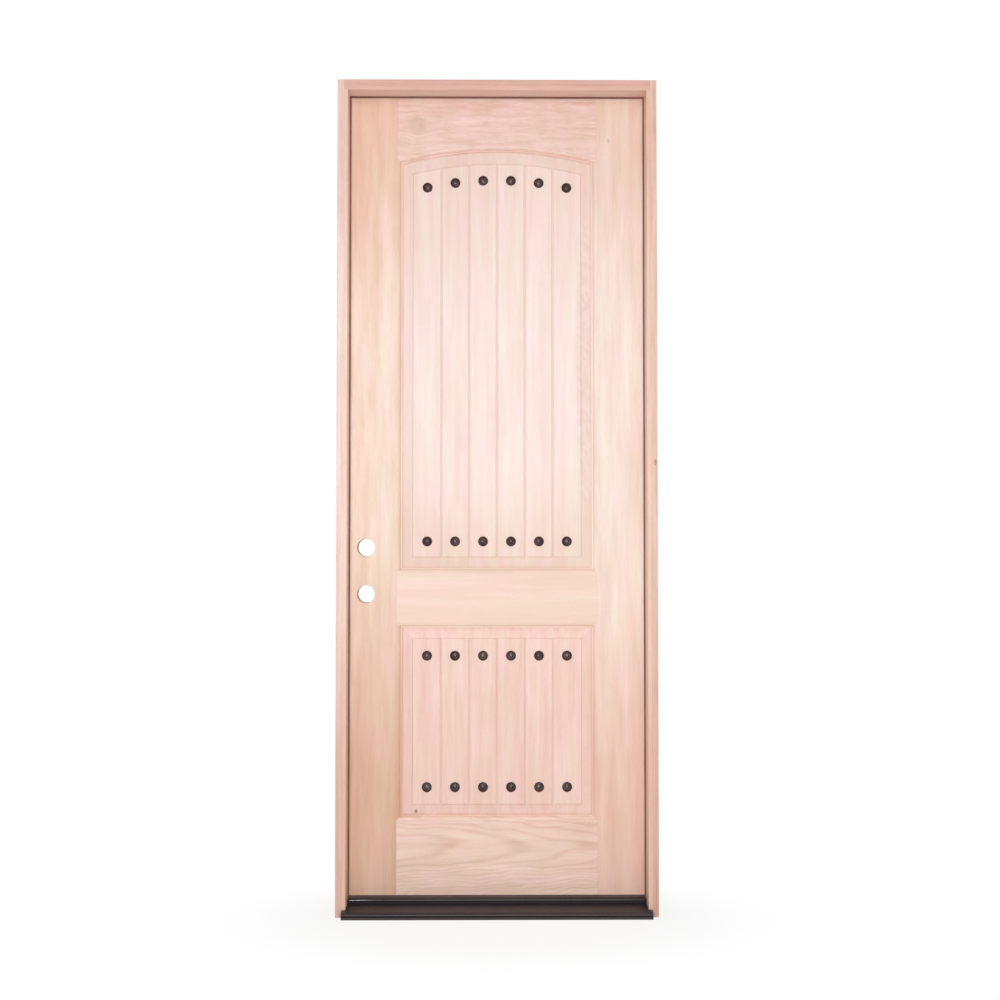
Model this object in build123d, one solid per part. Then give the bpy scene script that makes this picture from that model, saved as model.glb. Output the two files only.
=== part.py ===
from build123d import *
import os
from math import cos, pi, sqrt, tan

# A mahogany entrance door, closed in its frame. Lengths are in millimetres.
# X runs across the doorway from the lock side to the hinge side, Y from outdoors to indoors
# with zero at the frame's outdoor edge, and Z upwards from the underside of the sill.

# Frame
unit_width = 952.5
unit_height = 2483.0
jamb_depth = 115.9
jamb_thickness = 19.05
stop_thickness = 11.5
arris = 1.2
seam_arris = 0.4

# Weatherstrip, pressed into a kerf in the back of each stop
strip_kerf_width = 3.0
strip_kerf_depth = 10.0
strip_kerf_setback = 2.5
strip_tail_clearance = 0.2
strip_reach = 4.2
strip_space = 7.95
strip_slab_clearance = 0.35
strip_end_clearance = 0.3

# Sill
nose_reach = 27.0
nose_height = 20.0
nose_slope = 6.0
nose_round = 2.2
drip_height = 7.2
drip_opening = 4.6
drip_depth = 5.0
deck_rise = 7.0
deck_wall = 2.2
riser_lead = 14.45
riser_height = 5.0
cap_thickness = 7.0
cap_overhang = 3.5
sill_end_clearance = 0.6
substrate_clearance = 0.2
cope_clearance = 0.3

# Slab and its frame of stiles and rails
slab_thickness = 44.45
side_gap = 3.175
top_gap = 3.175
stile_face = 152.4
bottom_rail_face = 220.5
lower_opening_height = 560.0
lock_rail_face = 150.0
crown_rail_face = 155.5
arch_rise = 38.0

# Moulded and grooved inner edge of stiles and rails
moulding_width = 15.5
moulding_step = 1.6
moulding_lip = 3.4
panel_groove = 12.4
groove_depth = 10.5
quarter_share = sqrt(0.5)

# Raised plank panels
plank_count = 6
panel_clearance = 0.2
panel_end_gap = 0.5
bevel_border = 33.5
arch_border = 41.5
field_recess = 5.2
field_shoulder = 3.0
shoulder_run = 3.2
vee_depth = 4.0
plank_tongue = 5.0
plank_tongue_reach = 6.0
plank_clearance = 0.15
plank_end_gap = 0.4

# Nail heads
nail_radius = 15.0
nail_height = 8.5
nail_rim = 1.2
nail_shank_radius = 2.6
nail_shank_length = 20.0
nail_clearance = 0.1
nail_inset_arch = 48.5
nail_inset_upper = 45.6
nail_inset_lower = 50.0

# Lock preparation
lock_bore_radius = 26.9875
lock_backset = 60.325
lock_bore_height = 897.6
deadbolt_rise = 139.7
latch_bore_radius = 12.7
faceplate_width = 25.4
faceplate_height = 57.15
faceplate_depth = 3.2
strike_width = 28.6
strike_height = 57.15
strike_depth = 2.0
plate_corner = 6.35

# Dowels in the joints of rails and stiles
dowel_radius = 7.9
dowel_clearance = 0.1
dowel_web = 17.1
dowel_in_rail = 55.0
pair_shares = (0.25, 0.75)
triple_shares = (0.2, 0.5, 0.8)

# Hinges
hinge_count = 4
hinge_height = 101.6
hinge_top_margin = 177.8
hinge_bottom_margin = 279.4
leaf_backset = 6.45
leaf_thickness = 2.5
leaf_corner = 15.9
leaf_clearance = 0.2
knuckle_count = 5
knuckle_radius = 6.35
knuckle_standoff = 0.4
knuckle_gap = 0.4
pin_radius = 3.2
pin_clearance = 0.05
pin_head_radius = 5.2
pin_head_height = 3.0

# Screws
screw_clearance = 0.1
hinge_screw_head = 4.2
hinge_screw_shank = 2.2
hinge_screw_countersink = 2.2
jamb_screw_cover = 3.05
door_screw_length = 30.0
screw_height_shares = (0.125, 0.375, 0.625, 0.875)
screw_width_shares = (0.34, 0.68)
frame_screw_head = 4.6
frame_screw_shank = 2.4
frame_screw_countersink = 2.6
frame_screw_length = 60.0
sill_screw_height = 11.0
sill_screw_shares = (0.25, 0.8)

# Sweep under the door
sweep_space = 8.775
sweep_plate = 3.0
sweep_fin = 1.8
sweep_fin_count = 3
sweep_cap_clearance = 0.4
sweep_end_setback = 1.0
sweep_kerf_width = 3.0
sweep_kerf_depth = 10.0
sweep_tail_clearance = 0.2
sweep_kerf_shares = (0.27, 0.73)

# How far a cut runs past the piece that it cuts
overrun = 5.0

# Places worked out from the sizes above
rabbet_half = unit_width / 2 - jamb_thickness
rabbet_top = unit_height - jamb_thickness
stop_top = rabbet_top - stop_thickness
slab_width = 2 * (rabbet_half - side_gap)
slab_half = slab_width / 2
slab_back = jamb_depth
slab_front = slab_back - slab_thickness
slab_middle = (slab_front + slab_back) / 2
stop_depth = slab_front - strip_space
riser_setback = slab_front - riser_lead
cap_seat = nose_height + deck_rise + riser_height
cap_top = cap_seat + cap_thickness
slab_top = rabbet_top - top_gap
slab_bottom = cap_top + sweep_space
slab_height = slab_top - slab_bottom

shoulder = slab_half - stile_face
opening_half = shoulder - moulding_width
groove_lip = (slab_thickness - panel_groove) / 2
moulding_depth = groove_lip - moulding_lip
round_width = moulding_depth - moulding_step

bottom_rail_top = slab_bottom + bottom_rail_face
lower_sill = bottom_rail_top + moulding_width
lower_head = lower_sill + lower_opening_height
lock_rail_bottom = lower_head + moulding_width
lock_rail_top = lock_rail_bottom + lock_rail_face
upper_sill = lock_rail_top + moulding_width
arch_crown = slab_top - crown_rail_face - moulding_width
arch_radius = (opening_half ** 2 + arch_rise ** 2) / (2 * arch_rise)
arch_centre = arch_crown - arch_radius
arch_spring = arch_crown - arch_rise

panel_tongue = panel_groove - 2 * panel_clearance
tongue_reach = groove_depth - panel_end_gap
field_half = opening_half - bevel_border
field_front = slab_front + field_recess
field_back = slab_back - field_recess
plank_pitch = 2 * field_half / plank_count

dowel_in_stile = stile_face - lock_backset - lock_bore_radius - dowel_web
leaf_width = slab_thickness - leaf_backset
jamb_screw_length = jamb_thickness - jamb_screw_cover
hinge_axis_x = slab_half + side_gap / 2
hinge_axis_y = slab_back + knuckle_radius + knuckle_standoff

nodes = {}


def box_between(low, high):
    """A box given by its lowest and highest corners."""
    centre = [(a + b) / 2 for a, b in zip(low, high)]
    size = [b - a for a, b in zip(low, high)]
    return Pos(*centre) * Box(*size)


def eased(block, axis, radius, keep):
    """A block with its edges along an axis rounded where keep holds for the edge's middle."""
    return fillet([edge for edge in block.edges().filter_by(axis) if keep(edge.center())], radius)


def prism(edges, direction, length):
    """A flat outline carried straight along a direction."""
    return extrude(make_face(edges), amount=length, dir=direction)


def rod(start, end, radius):
    """A round rod between two points."""
    run = Vector(*end) - Vector(*start)
    return Solid.make_cylinder(radius, run.length, Plane(origin=start, z_dir=run))


def joined(pieces):
    """The pieces fused into one solid."""
    result = pieces[0]
    for piece in pieces[1:]:
        result = result + piece
    return result


def cut(body, tools):
    """A body with every tool taken out of it."""
    for tool in tools:
        body = body - tool
    return body


def group(pieces):
    """Several like solids kept together as one piece of the list."""
    return Compound(children=[piece.solid() for piece in pieces])


def arch_height(radius, x):
    """Height of an arc about the arch's centre at a distance from the door's middle line."""
    return arch_centre + sqrt(radius ** 2 - x ** 2)


# Screws


def screw_profile(head, shank, countersink, length, clearance):
    """Half outline of a countersunk screw along +X, grown by a clearance."""
    points = [
        (-clearance, 0, 0),
        (-clearance, head + clearance, 0),
        (countersink, shank + clearance, 0),
        (length - shank, shank + clearance, 0),
        (length + clearance, 0, 0),
    ]
    return make_face(Polyline(*points, close=True))


def hinge_screw(length, clearance=0):
    """A countersunk screw of a hinge leaf, or with a clearance the hole for it."""
    outline = screw_profile(hinge_screw_head, hinge_screw_shank, hinge_screw_countersink, length, clearance)
    return revolve(outline, axis=Axis.X)


def frame_screw(clearance=0):
    """A long countersunk screw of the frame, or with a clearance the hole for it."""
    outline = screw_profile(
        frame_screw_head, frame_screw_shank, frame_screw_countersink, frame_screw_length, clearance)
    return revolve(outline, axis=Axis.X)


def frame_screw_places(heights_and_depths):
    """Where the screws of both side jambs start, each pointing into the frame."""
    places = []
    for depth, height in heights_and_depths:
        places.append(Pos(-unit_width / 2, depth, height))
        places.append(Pos(unit_width / 2, depth, height) * Rot(0, 0, 180))
    return places


head_screw_places = frame_screw_places(
    [(share * jamb_depth, unit_height - jamb_thickness / 2) for share in triple_shares])
sill_screw_places = frame_screw_places(
    [(share * jamb_depth, sill_screw_height) for share in sill_screw_shares])
frame_screw_holes = [place * frame_screw(screw_clearance) for place in head_screw_places + sill_screw_places]


# Hinges


def hinge_heights():
    """Heights of the undersides of the hinges, spread evenly between the two margins."""
    lowest = slab_bottom + hinge_bottom_margin
    highest = slab_top - hinge_top_margin - hinge_height
    return [lowest + (highest - lowest) * i / (hinge_count - 1) for i in range(hinge_count)]


def leaf_outline(x, bottom, clearance, reach):
    """Outline of a hinge leaf with its two inner corners rounded, open towards indoors."""
    low = bottom - clearance
    high = bottom + hinge_height + clearance
    inner = slab_back - leaf_width - clearance
    outer = slab_back + reach
    bend = leaf_corner * (1 - quarter_share)
    return [
        Line((x, outer, low), (x, inner + leaf_corner, low)),
        ThreePointArc(
            (x, inner + leaf_corner, low), (x, inner + bend, low + bend), (x, inner, low + leaf_corner)),
        Line((x, inner, low + leaf_corner), (x, inner, high - leaf_corner)),
        ThreePointArc(
            (x, inner, high - leaf_corner), (x, inner + bend, high - bend), (x, inner + leaf_corner, high)),
        Line((x, inner + leaf_corner, high), (x, outer, high)),
        Line((x, outer, high), (x, outer, low)),
    ]


def leaf_face_x(side):
    """Where a leaf's bare face lies: on the slab's edge (-1) or on the jamb (1)."""
    return hinge_axis_x + side * side_gap / 2


def leaf_screw_places(side, bottom):
    """Where a leaf's screws start, pointing into the wood behind the leaf."""
    places = []
    for i, share in enumerate(screw_height_shares):
        depth = slab_back - leaf_width * screw_width_shares[i % len(screw_width_shares)]
        spot = Pos(leaf_face_x(side), depth, bottom + share * hinge_height)
        places.append(spot if side > 0 else spot * Rot(0, 0, 180))
    return places


def leaf_mortise(side, bottom):
    """The recess that takes a leaf flush with the wood."""
    outline = leaf_outline(leaf_face_x(side) - side * overrun, bottom, leaf_clearance, overrun)
    return prism(outline, (side, 0, 0), leaf_thickness + overrun)


def hinge_leaf(side, bottom, screw_length):
    """A hinge leaf with its knuckles: the jamb's (1) has the end ones, the door's (-1) those between."""
    face_x = leaf_face_x(side)
    root_x = face_x + side * leaf_thickness
    pitch = hinge_height / knuckle_count
    pieces = [prism(leaf_outline(face_x, bottom, 0, 0), (side, 0, 0), leaf_thickness)]
    for i in range(0 if side > 0 else 1, knuckle_count, 2):
        low = bottom + i * pitch + knuckle_gap / 2
        high = low + pitch - knuckle_gap
        pieces.append(rod(
            (hinge_axis_x, hinge_axis_y, low), (hinge_axis_x, hinge_axis_y, high), knuckle_radius))
        pieces.append(box_between(
            (min(face_x, root_x), slab_back - leaf_thickness, low),
            (max(face_x, root_x), hinge_axis_y, high)))
    bore = rod(
        (hinge_axis_x, hinge_axis_y, bottom - overrun),
        (hinge_axis_x, hinge_axis_y, bottom + hinge_height + overrun),
        pin_radius + pin_clearance)
    holes = [place * hinge_screw(screw_length, screw_clearance) for place in leaf_screw_places(side, bottom)]
    return cut(joined(pieces), [bore] + holes)


def hinge_pin(bottom):
    """A hinge pin with a button at each end."""
    low = bottom + knuckle_gap / 2
    high = bottom + hinge_height - knuckle_gap / 2
    axis = (hinge_axis_x, hinge_axis_y)
    return joined([
        rod((*axis, low - pin_head_height), (*axis, high + pin_head_height), pin_radius),
        rod((*axis, low - pin_head_height), (*axis, low), pin_head_radius),
        rod((*axis, high), (*axis, high + pin_head_height), pin_head_radius),
    ])


jamb_mortises = []
door_mortises = []
jamb_screws = []
door_screws = []
for number, bottom in enumerate(hinge_heights(), start=1):
    nodes[f"hinge_{number}_jamb_leaf"] = hinge_leaf(1, bottom, jamb_screw_length)
    nodes[f"hinge_{number}_door_leaf"] = hinge_leaf(-1, bottom, door_screw_length)
    nodes[f"hinge_{number}_pin"] = hinge_pin(bottom)
    jamb_mortises.append(leaf_mortise(1, bottom))
    door_mortises.append(leaf_mortise(-1, bottom))
    for place in leaf_screw_places(1, bottom):
        jamb_screws.append(place * hinge_screw(jamb_screw_length))
        jamb_mortises.append(place * hinge_screw(jamb_screw_length, screw_clearance))
    for place in leaf_screw_places(-1, bottom):
        door_screws.append(place * hinge_screw(door_screw_length))
        door_mortises.append(place * hinge_screw(door_screw_length, screw_clearance))
nodes["hinge_jamb_screws"] = group(jamb_screws)
nodes["hinge_door_screws"] = group(door_screws)


# Sill


def deck_height(depth):
    """Height of the sloping deck at a depth."""
    start = nose_slope - nose_reach
    return nose_height + deck_rise * (depth - start) / (riser_setback - start)


def sill_run(edges):
    """A sill section carried between the two side jambs."""
    return prism(edges, (1, 0, 0), 2 * (rabbet_half - sill_end_clearance))


sill_x = sill_end_clearance - rabbet_half
nose_front = -nose_reach
drip_top = drip_height + drip_opening
nose_inner = nose_front + drip_depth + deck_wall
nose_corner = nose_height - nose_slope
nose_lead = nose_round * tan(pi / 8)
nose_cut = 1 - cos(pi / 8)
riser_back = riser_setback + deck_wall


def sill_deck():
    """The bronze deck: a toe, a drip groove, a sloped nose, a sloping tread and a turned-up back edge."""
    return sill_run([
        Polyline(
            (sill_x, nose_inner, 0),
            (sill_x, nose_front, 0),
            (sill_x, nose_front, drip_height),
            (sill_x, nose_front + drip_depth, drip_height),
            (sill_x, nose_front + drip_depth, drip_top),
            (sill_x, nose_front, drip_top),
            (sill_x, nose_front, nose_corner - nose_lead)),
        ThreePointArc(
            (sill_x, nose_front, nose_corner - nose_lead),
            (sill_x, nose_front + nose_round * nose_cut, nose_corner - nose_lead * nose_cut),
            (sill_x, nose_front + nose_lead * quarter_share, nose_corner + nose_lead * quarter_share)),
        Polyline(
            (sill_x, nose_front + nose_lead * quarter_share, nose_corner + nose_lead * quarter_share),
            (sill_x, nose_front + nose_slope, nose_height),
            (sill_x, riser_setback, deck_height(riser_setback)),
            (sill_x, riser_setback, cap_seat),
            (sill_x, riser_back, cap_seat),
            (sill_x, riser_back, deck_height(riser_back) - deck_wall),
            (sill_x, nose_inner, deck_height(nose_inner) - deck_wall),
            (sill_x, nose_inner, 0)),
    ])


def sill_substrate():
    """The solid base under the deck and the cap."""
    front = nose_inner + substrate_clearance
    step = riser_back + substrate_clearance
    drop = deck_wall + substrate_clearance
    block = sill_run([Polyline(
        (sill_x, front, 0),
        (sill_x, front, deck_height(front) - drop),
        (sill_x, step, deck_height(step) - drop),
        (sill_x, step, cap_seat),
        (sill_x, jamb_depth, cap_seat),
        (sill_x, jamb_depth, 0),
        close=True)])
    return cut(block, frame_screw_holes)


def sill_cap():
    """The cap under the door, with a rounded front edge over the riser."""
    front = riser_setback - cap_overhang
    round_end = front + cap_thickness / 2
    return sill_run([
        ThreePointArc(
            (sill_x, round_end, cap_seat),
            (sill_x, front, cap_seat + cap_thickness / 2),
            (sill_x, round_end, cap_top)),
        Polyline(
            (sill_x, round_end, cap_top),
            (sill_x, jamb_depth, cap_top),
            (sill_x, jamb_depth, cap_seat),
            (sill_x, round_end, cap_seat)),
    ])


def sill_cope():
    """The space that the stops leave free over the sill."""
    back = jamb_depth + overrun
    cap_front = riser_setback - cap_overhang - cope_clearance
    return prism(
        [Polyline(
            (-rabbet_half, -overrun, -overrun),
            (-rabbet_half, -overrun, deck_height(-overrun) + cope_clearance),
            (-rabbet_half, cap_front, deck_height(cap_front) + cope_clearance),
            (-rabbet_half, cap_front, cap_top + cope_clearance),
            (-rabbet_half, back, cap_top + cope_clearance),
            (-rabbet_half, back, -overrun),
            close=True)],
        (1, 0, 0), 2 * rabbet_half)


nodes["sill_deck"] = sill_deck()
nodes["sill_substrate"] = sill_substrate()
nodes["sill_cap"] = sill_cap()
nodes["sill_screws"] = group([place * frame_screw() for place in sill_screw_places])


# Jambs, their stops and weatherstrip


def rounded_plate_cut(x_face, direction, width, height, depth, centre_y, centre_z):
    """A shallow recess with rounded corners in a face that looks along X."""
    start = Plane(
        origin=(x_face - direction * overrun, centre_y, centre_z), x_dir=(0, 1, 0), z_dir=(direction, 0, 0))
    return extrude(start * RectangleRounded(width, height, plate_corner), amount=depth + overrun)


lock_heights = [slab_bottom + lock_bore_height, slab_bottom + lock_bore_height + deadbolt_rise]


def strike_cuts():
    """A recess for a strike, and a bore right through for its bolt, at each lock height."""
    cuts = []
    for height in lock_heights:
        cuts.append(rounded_plate_cut(
            -rabbet_half, -1, strike_width, strike_height, strike_depth, slab_middle, height))
        cuts.append(rod(
            (-rabbet_half + overrun, slab_middle, height),
            (-unit_width / 2 - overrun, slab_middle, height),
            latch_bore_radius))
    return cuts


def side_jamb(side):
    """The flat board of a side jamb, bored for the strikes or let in for the hinges."""
    outer = side * unit_width / 2
    inner = side * rabbet_half
    board = box_between((min(outer, inner), 0, 0), (max(outer, inner), jamb_depth, unit_height))
    board = eased(
        board, Axis.Z, arris, lambda spot: spot.Y > stop_depth or abs(spot.X) > rabbet_half + arris)
    board = eased(
        board, Axis.Z, seam_arris, lambda spot: spot.Y < stop_depth and abs(spot.X) < rabbet_half + arris)
    return cut(board, frame_screw_holes + (jamb_mortises if side > 0 else strike_cuts()))


def side_stop(side):
    """The stop on a side jamb, coped over the sill, cut under the head's stop and kerfed behind."""
    inner = side * rabbet_half
    stop_x = side * (rabbet_half - stop_thickness)
    kerf_near = side * (rabbet_half - strip_kerf_setback)
    kerf_far = side * (rabbet_half - strip_kerf_setback - strip_kerf_width)
    stop = box_between((min(stop_x, inner), 0, 0), (max(stop_x, inner), stop_depth, stop_top))
    stop = eased(stop, Axis.Z, arris, lambda spot: abs(spot.X) < rabbet_half - arris)
    stop = eased(
        stop, Axis.Z, seam_arris, lambda spot: spot.Y < arris and abs(spot.X) > rabbet_half - arris)
    kerf = box_between(
        (min(kerf_near, kerf_far), stop_depth - strip_kerf_depth, 0),
        (max(kerf_near, kerf_far), stop_depth + overrun, stop_top + overrun))
    return cut(stop, [sill_cope(), kerf])


def head_jamb():
    """The flat board of the head jamb, between the side jambs."""
    board = box_between((-rabbet_half, 0, rabbet_top), (rabbet_half, jamb_depth, unit_height))
    board = eased(board, Axis.X, arris, lambda spot: spot.Y > stop_depth and spot.Z < rabbet_top + arris)
    board = eased(board, Axis.X, seam_arris, lambda spot: spot.Y < arris and spot.Z < rabbet_top + arris)
    return cut(board, frame_screw_holes)


def head_stop():
    """The stop on the head jamb, kerfed behind."""
    stop = box_between((-rabbet_half, 0, stop_top), (rabbet_half, stop_depth, rabbet_top))
    stop = eased(stop, Axis.X, arris, lambda spot: spot.Z < rabbet_top - arris)
    stop = eased(stop, Axis.X, seam_arris, lambda spot: spot.Y < arris and spot.Z > rabbet_top - arris)
    kerf = box_between(
        (-rabbet_half - overrun, stop_depth - strip_kerf_depth,
         rabbet_top - strip_kerf_setback - strip_kerf_width),
        (rabbet_half + overrun, stop_depth + overrun, rabbet_top - strip_kerf_setback))
    return cut(stop, [kerf])


strip_back = slab_front - strip_slab_clearance
strip_tail_near = strip_kerf_setback + strip_tail_clearance
strip_tail_far = strip_kerf_setback + strip_kerf_width - strip_tail_clearance
strip_tail_tip = stop_depth - strip_kerf_depth + strip_tail_clearance


def strip_bulb(place):
    """Outline of the soft bulb that meets the slab; place turns reach and depth into a point."""
    bulb = (strip_back - stop_depth) / 2
    tip = stop_thickness + strip_reach
    return [
        ThreePointArc(
            place(tip - bulb, stop_depth), place(tip, stop_depth + bulb), place(tip - bulb, strip_back)),
        Polyline(
            place(tip - bulb, strip_back),
            place(strip_end_clearance, strip_back),
            place(strip_end_clearance, stop_depth),
            place(tip - bulb, stop_depth)),
    ]


def strip_tail(place):
    """Outline of the barb that sits in the kerf."""
    return [Polyline(
        place(strip_tail_near, stop_depth),
        place(strip_tail_far, stop_depth),
        place(strip_tail_far, strip_tail_tip),
        place(strip_tail_near, strip_tail_tip),
        close=True)]


def mitre_plane(side):
    """The plane at the corner where a side strip meets the head strip."""
    return Plane(origin=(side * rabbet_half, 0, rabbet_top), z_dir=(-side, 0, 1))


def side_weatherstrip(side):
    """The strip of a side jamb, mitred under the head strip."""
    low = cap_top + cope_clearance

    def place(reach, depth):
        return (side * (rabbet_half - reach), depth, low)

    bulb = prism(strip_bulb(place), (0, 0, 1), rabbet_top - low)
    tail = prism(strip_tail(place), (0, 0, 1), stop_top - low)
    return split(bulb, bisect_by=mitre_plane(side), keep=Keep.BOTTOM) + tail


def head_weatherstrip():
    """The strip of the head jamb, mitred at both ends."""
    def place(reach, depth):
        return (-rabbet_half, depth, rabbet_top - reach)

    strip = prism(strip_bulb(place), (1, 0, 0), 2 * rabbet_half)
    strip = strip + prism(strip_tail(place), (1, 0, 0), 2 * rabbet_half)
    for side in (-1, 1):
        strip = split(strip, bisect_by=mitre_plane(side), keep=Keep.TOP)
    return strip


nodes["strike_jamb"] = side_jamb(-1)
nodes["hinge_jamb"] = side_jamb(1)
nodes["head_jamb"] = head_jamb()
nodes["strike_stop"] = side_stop(-1)
nodes["hinge_stop"] = side_stop(1)
nodes["head_stop"] = head_stop()
nodes["head_screws"] = group([place * frame_screw() for place in head_screw_places])
nodes["strike_weatherstrip"] = side_weatherstrip(-1)
nodes["hinge_weatherstrip"] = side_weatherstrip(1)
nodes["head_weatherstrip"] = head_weatherstrip()


# Stiles and rails


def moulded_edge(place):
    """Edges round a moulded and grooved edge, from the outdoor face to the indoor one.

    place turns the distance past the flat face and the depth behind the outdoor face into a point.
    """
    def quarter_round(face_depth, toe_depth):
        return ThreePointArc(
            place(0, face_depth),
            place(round_width * quarter_share, toe_depth + (face_depth - toe_depth) * quarter_share),
            place(round_width, toe_depth))

    far_lip = slab_thickness - groove_lip
    far_depth = slab_thickness - moulding_depth
    far_step = slab_thickness - moulding_step
    groove_floor = moulding_width - groove_depth
    return [
        Line(place(0, 0), place(0, moulding_step)),
        quarter_round(moulding_step, moulding_depth),
        Polyline(
            place(round_width, moulding_depth),
            place(moulding_width, moulding_depth),
            place(moulding_width, groove_lip),
            place(groove_floor, groove_lip),
            place(groove_floor, far_lip),
            place(moulding_width, far_lip),
            place(moulding_width, far_depth),
            place(round_width, far_depth)),
        quarter_round(far_step, far_depth),
        Line(place(0, far_step), place(0, slab_thickness)),
    ]


def plain_stile(side):
    """A stile along its whole height, moulded on its inner edge."""
    def place(reach, depth):
        return (side * (shoulder - reach), slab_front + depth, slab_bottom)

    outline = moulded_edge(place) + [Polyline(
        place(0, slab_thickness),
        place(arris - stile_face, slab_thickness),
        place(-stile_face, slab_thickness - arris),
        place(-stile_face, arris),
        place(arris - stile_face, 0),
        place(0, 0))]
    return prism(outline, (0, 0, 1), slab_height)


plain_stiles = [plain_stile(-1), plain_stile(1)]


def straight_rail(low, high, moulded_low):
    """A rail moulded on its top edge, and on its lower edge too where asked, coped over the stiles."""
    def above(reach, depth):
        return (-shoulder, slab_front + depth, high + reach)

    def below(reach, depth):
        return (-shoulder, slab_front + depth, low - reach)

    lower_edge = moulded_edge(below) if moulded_low else [Line(below(0, 0), below(0, slab_thickness))]
    faces = [Line(below(0, 0), above(0, 0)), Line(below(0, slab_thickness), above(0, slab_thickness))]
    return cut(prism(moulded_edge(above) + lower_edge + faces, (1, 0, 0), 2 * shoulder), plain_stiles)


def arched_rail():
    """The top rail, its arched lower edge moulded and grooved as the stiles are."""
    blank = box_between(
        (-shoulder, slab_front, arch_crown - 2 * arch_rise), (shoulder, slab_back, slab_top))

    def place(reach, depth):
        return (arch_radius + moulding_width - reach, slab_front + depth, arch_centre)

    rim = arch_radius + moulding_width
    outline = moulded_edge(place) + [Polyline(
        place(0, slab_thickness),
        (rim, slab_back + overrun, arch_centre),
        (0, slab_back + overrun, arch_centre),
        (0, slab_front - overrun, arch_centre),
        (rim, slab_front - overrun, arch_centre),
        place(0, 0))]
    disc = revolve(make_face(outline), axis=Axis((0, 0, arch_centre), (0, 1, 0)))
    return cut(blank, [disc] + plain_stiles)


def dowel_heights():
    """Heights of the dowels of each rail."""
    spans = [
        (arch_spring + moulding_width, slab_top, pair_shares),
        (lock_rail_bottom, lock_rail_top, pair_shares),
        (slab_bottom, bottom_rail_top, triple_shares),
    ]
    return [low + (high - low) * share for low, high, shares in spans for share in shares]


def dowels(clearance):
    """All dowels, or with a clearance the holes for them."""
    pieces = []
    for side in (-1, 1):
        for height in dowel_heights():
            start = (side * (shoulder + dowel_in_stile + clearance), slab_middle, height)
            end = (side * (shoulder - dowel_in_rail - clearance), slab_middle, height)
            pieces.append(rod(start, end, dowel_radius + clearance))
    return pieces


dowel_holes = dowels(dowel_clearance)


def lock_cuts():
    """The cross bores, edge bores and faceplate recesses for a lock and a deadbolt."""
    cuts = []
    for height in lock_heights:
        centre_x = lock_backset - slab_half
        cuts.append(rod(
            (centre_x, slab_front - overrun, height),
            (centre_x, slab_back + overrun, height),
            lock_bore_radius))
        cuts.append(rod(
            (-slab_half - overrun, slab_middle, height), (centre_x, slab_middle, height), latch_bore_radius))
        cuts.append(rounded_plate_cut(
            -slab_half, 1, faceplate_width, faceplate_height, faceplate_depth, slab_middle, height))
    return cuts


def sweep_kerfs():
    """Two kerfs along the slab's lower edge for the sweep."""
    kerfs = []
    for share in sweep_kerf_shares:
        middle = slab_front + share * slab_thickness
        kerfs.append(box_between(
            (-slab_half - overrun, middle - sweep_kerf_width / 2, slab_bottom - overrun),
            (slab_half + overrun, middle + sweep_kerf_width / 2, slab_bottom + sweep_kerf_depth)))
    return kerfs


def door_sweep():
    """The sweep: a plate under the slab, two barbs in its kerfs and soft fins over the cap."""
    half = slab_half - sweep_end_setback
    plate_bottom = slab_bottom - sweep_plate
    pieces = [box_between((-half, slab_front, plate_bottom), (half, slab_back, slab_bottom))]
    tail_half = sweep_kerf_width / 2 - sweep_tail_clearance
    for share in sweep_kerf_shares:
        middle = slab_front + share * slab_thickness
        pieces.append(box_between(
            (-half, middle - tail_half, plate_bottom),
            (half, middle + tail_half, slab_bottom + sweep_kerf_depth - sweep_tail_clearance)))
    spacing = (slab_thickness - sweep_fin) / (sweep_fin_count - 1)
    for i in range(sweep_fin_count):
        front = slab_front + i * spacing
        pieces.append(box_between(
            (-half, front, cap_top + sweep_cap_clearance), (half, front + sweep_fin, plate_bottom)))
    return joined(pieces)


nodes["lock_stile"] = cut(plain_stiles[0], lock_cuts() + dowel_holes + sweep_kerfs())
nodes["hinge_stile"] = cut(plain_stiles[1], door_mortises + dowel_holes + sweep_kerfs())
nodes["top_rail"] = cut(arched_rail(), dowel_holes)
nodes["lock_rail"] = cut(straight_rail(lock_rail_bottom, lock_rail_top, True), dowel_holes)
nodes["bottom_rail"] = cut(straight_rail(slab_bottom, bottom_rail_top, False), dowel_holes + sweep_kerfs())
nodes["rail_dowels"] = group(dowels(0))
nodes["door_sweep"] = door_sweep()


# Plank panels and nail heads


def lower_outline(inset, depth):
    """The lower opening's outline drawn in by an inset, at a depth."""
    x = opening_half - inset
    low = lower_sill + inset
    high = lower_head - inset
    return make_face(Polyline(
        (-x, depth, low), (x, depth, low), (x, depth, high), (-x, depth, high), close=True))


def upper_outline(inset, depth):
    """The arched upper opening's outline drawn in by an inset, wider under the arch, at a depth."""
    x = opening_half - inset
    low = upper_sill + inset
    radius = arch_radius - (inset * arch_border / bevel_border if inset > 0 else inset)
    side = arch_height(radius, x)
    return make_face([
        Line((-x, depth, low), (x, depth, low)),
        Line((x, depth, low), (x, depth, side)),
        ThreePointArc((x, depth, side), (0, depth, arch_height(radius, 0)), (-x, depth, side)),
        Line((-x, depth, side), (-x, depth, low)),
    ])


def raised_panel(outline):
    """A panel with a tongue all round, bevelled up to a shoulder and a raised field on both faces."""
    tongue = outline(-tongue_reach, slab_middle - panel_tongue / 2)
    pieces = [extrude(tongue, amount=panel_tongue, dir=(0, 1, 0))]
    field_thickness = field_back - field_front
    for way in (-1, 1):
        root = slab_middle + way * panel_tongue / 2
        brow = slab_middle + way * (field_thickness / 2 - field_shoulder)
        face = slab_middle + way * field_thickness / 2
        bevel = [outline(0, root), outline(bevel_border - shoulder_run, brow)]
        shoulder = [outline(bevel_border - shoulder_run, brow), outline(bevel_border, face)]
        pieces.extend(loft(faces, ruled=True) for faces in (bevel, shoulder))
    return joined(pieces)


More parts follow.
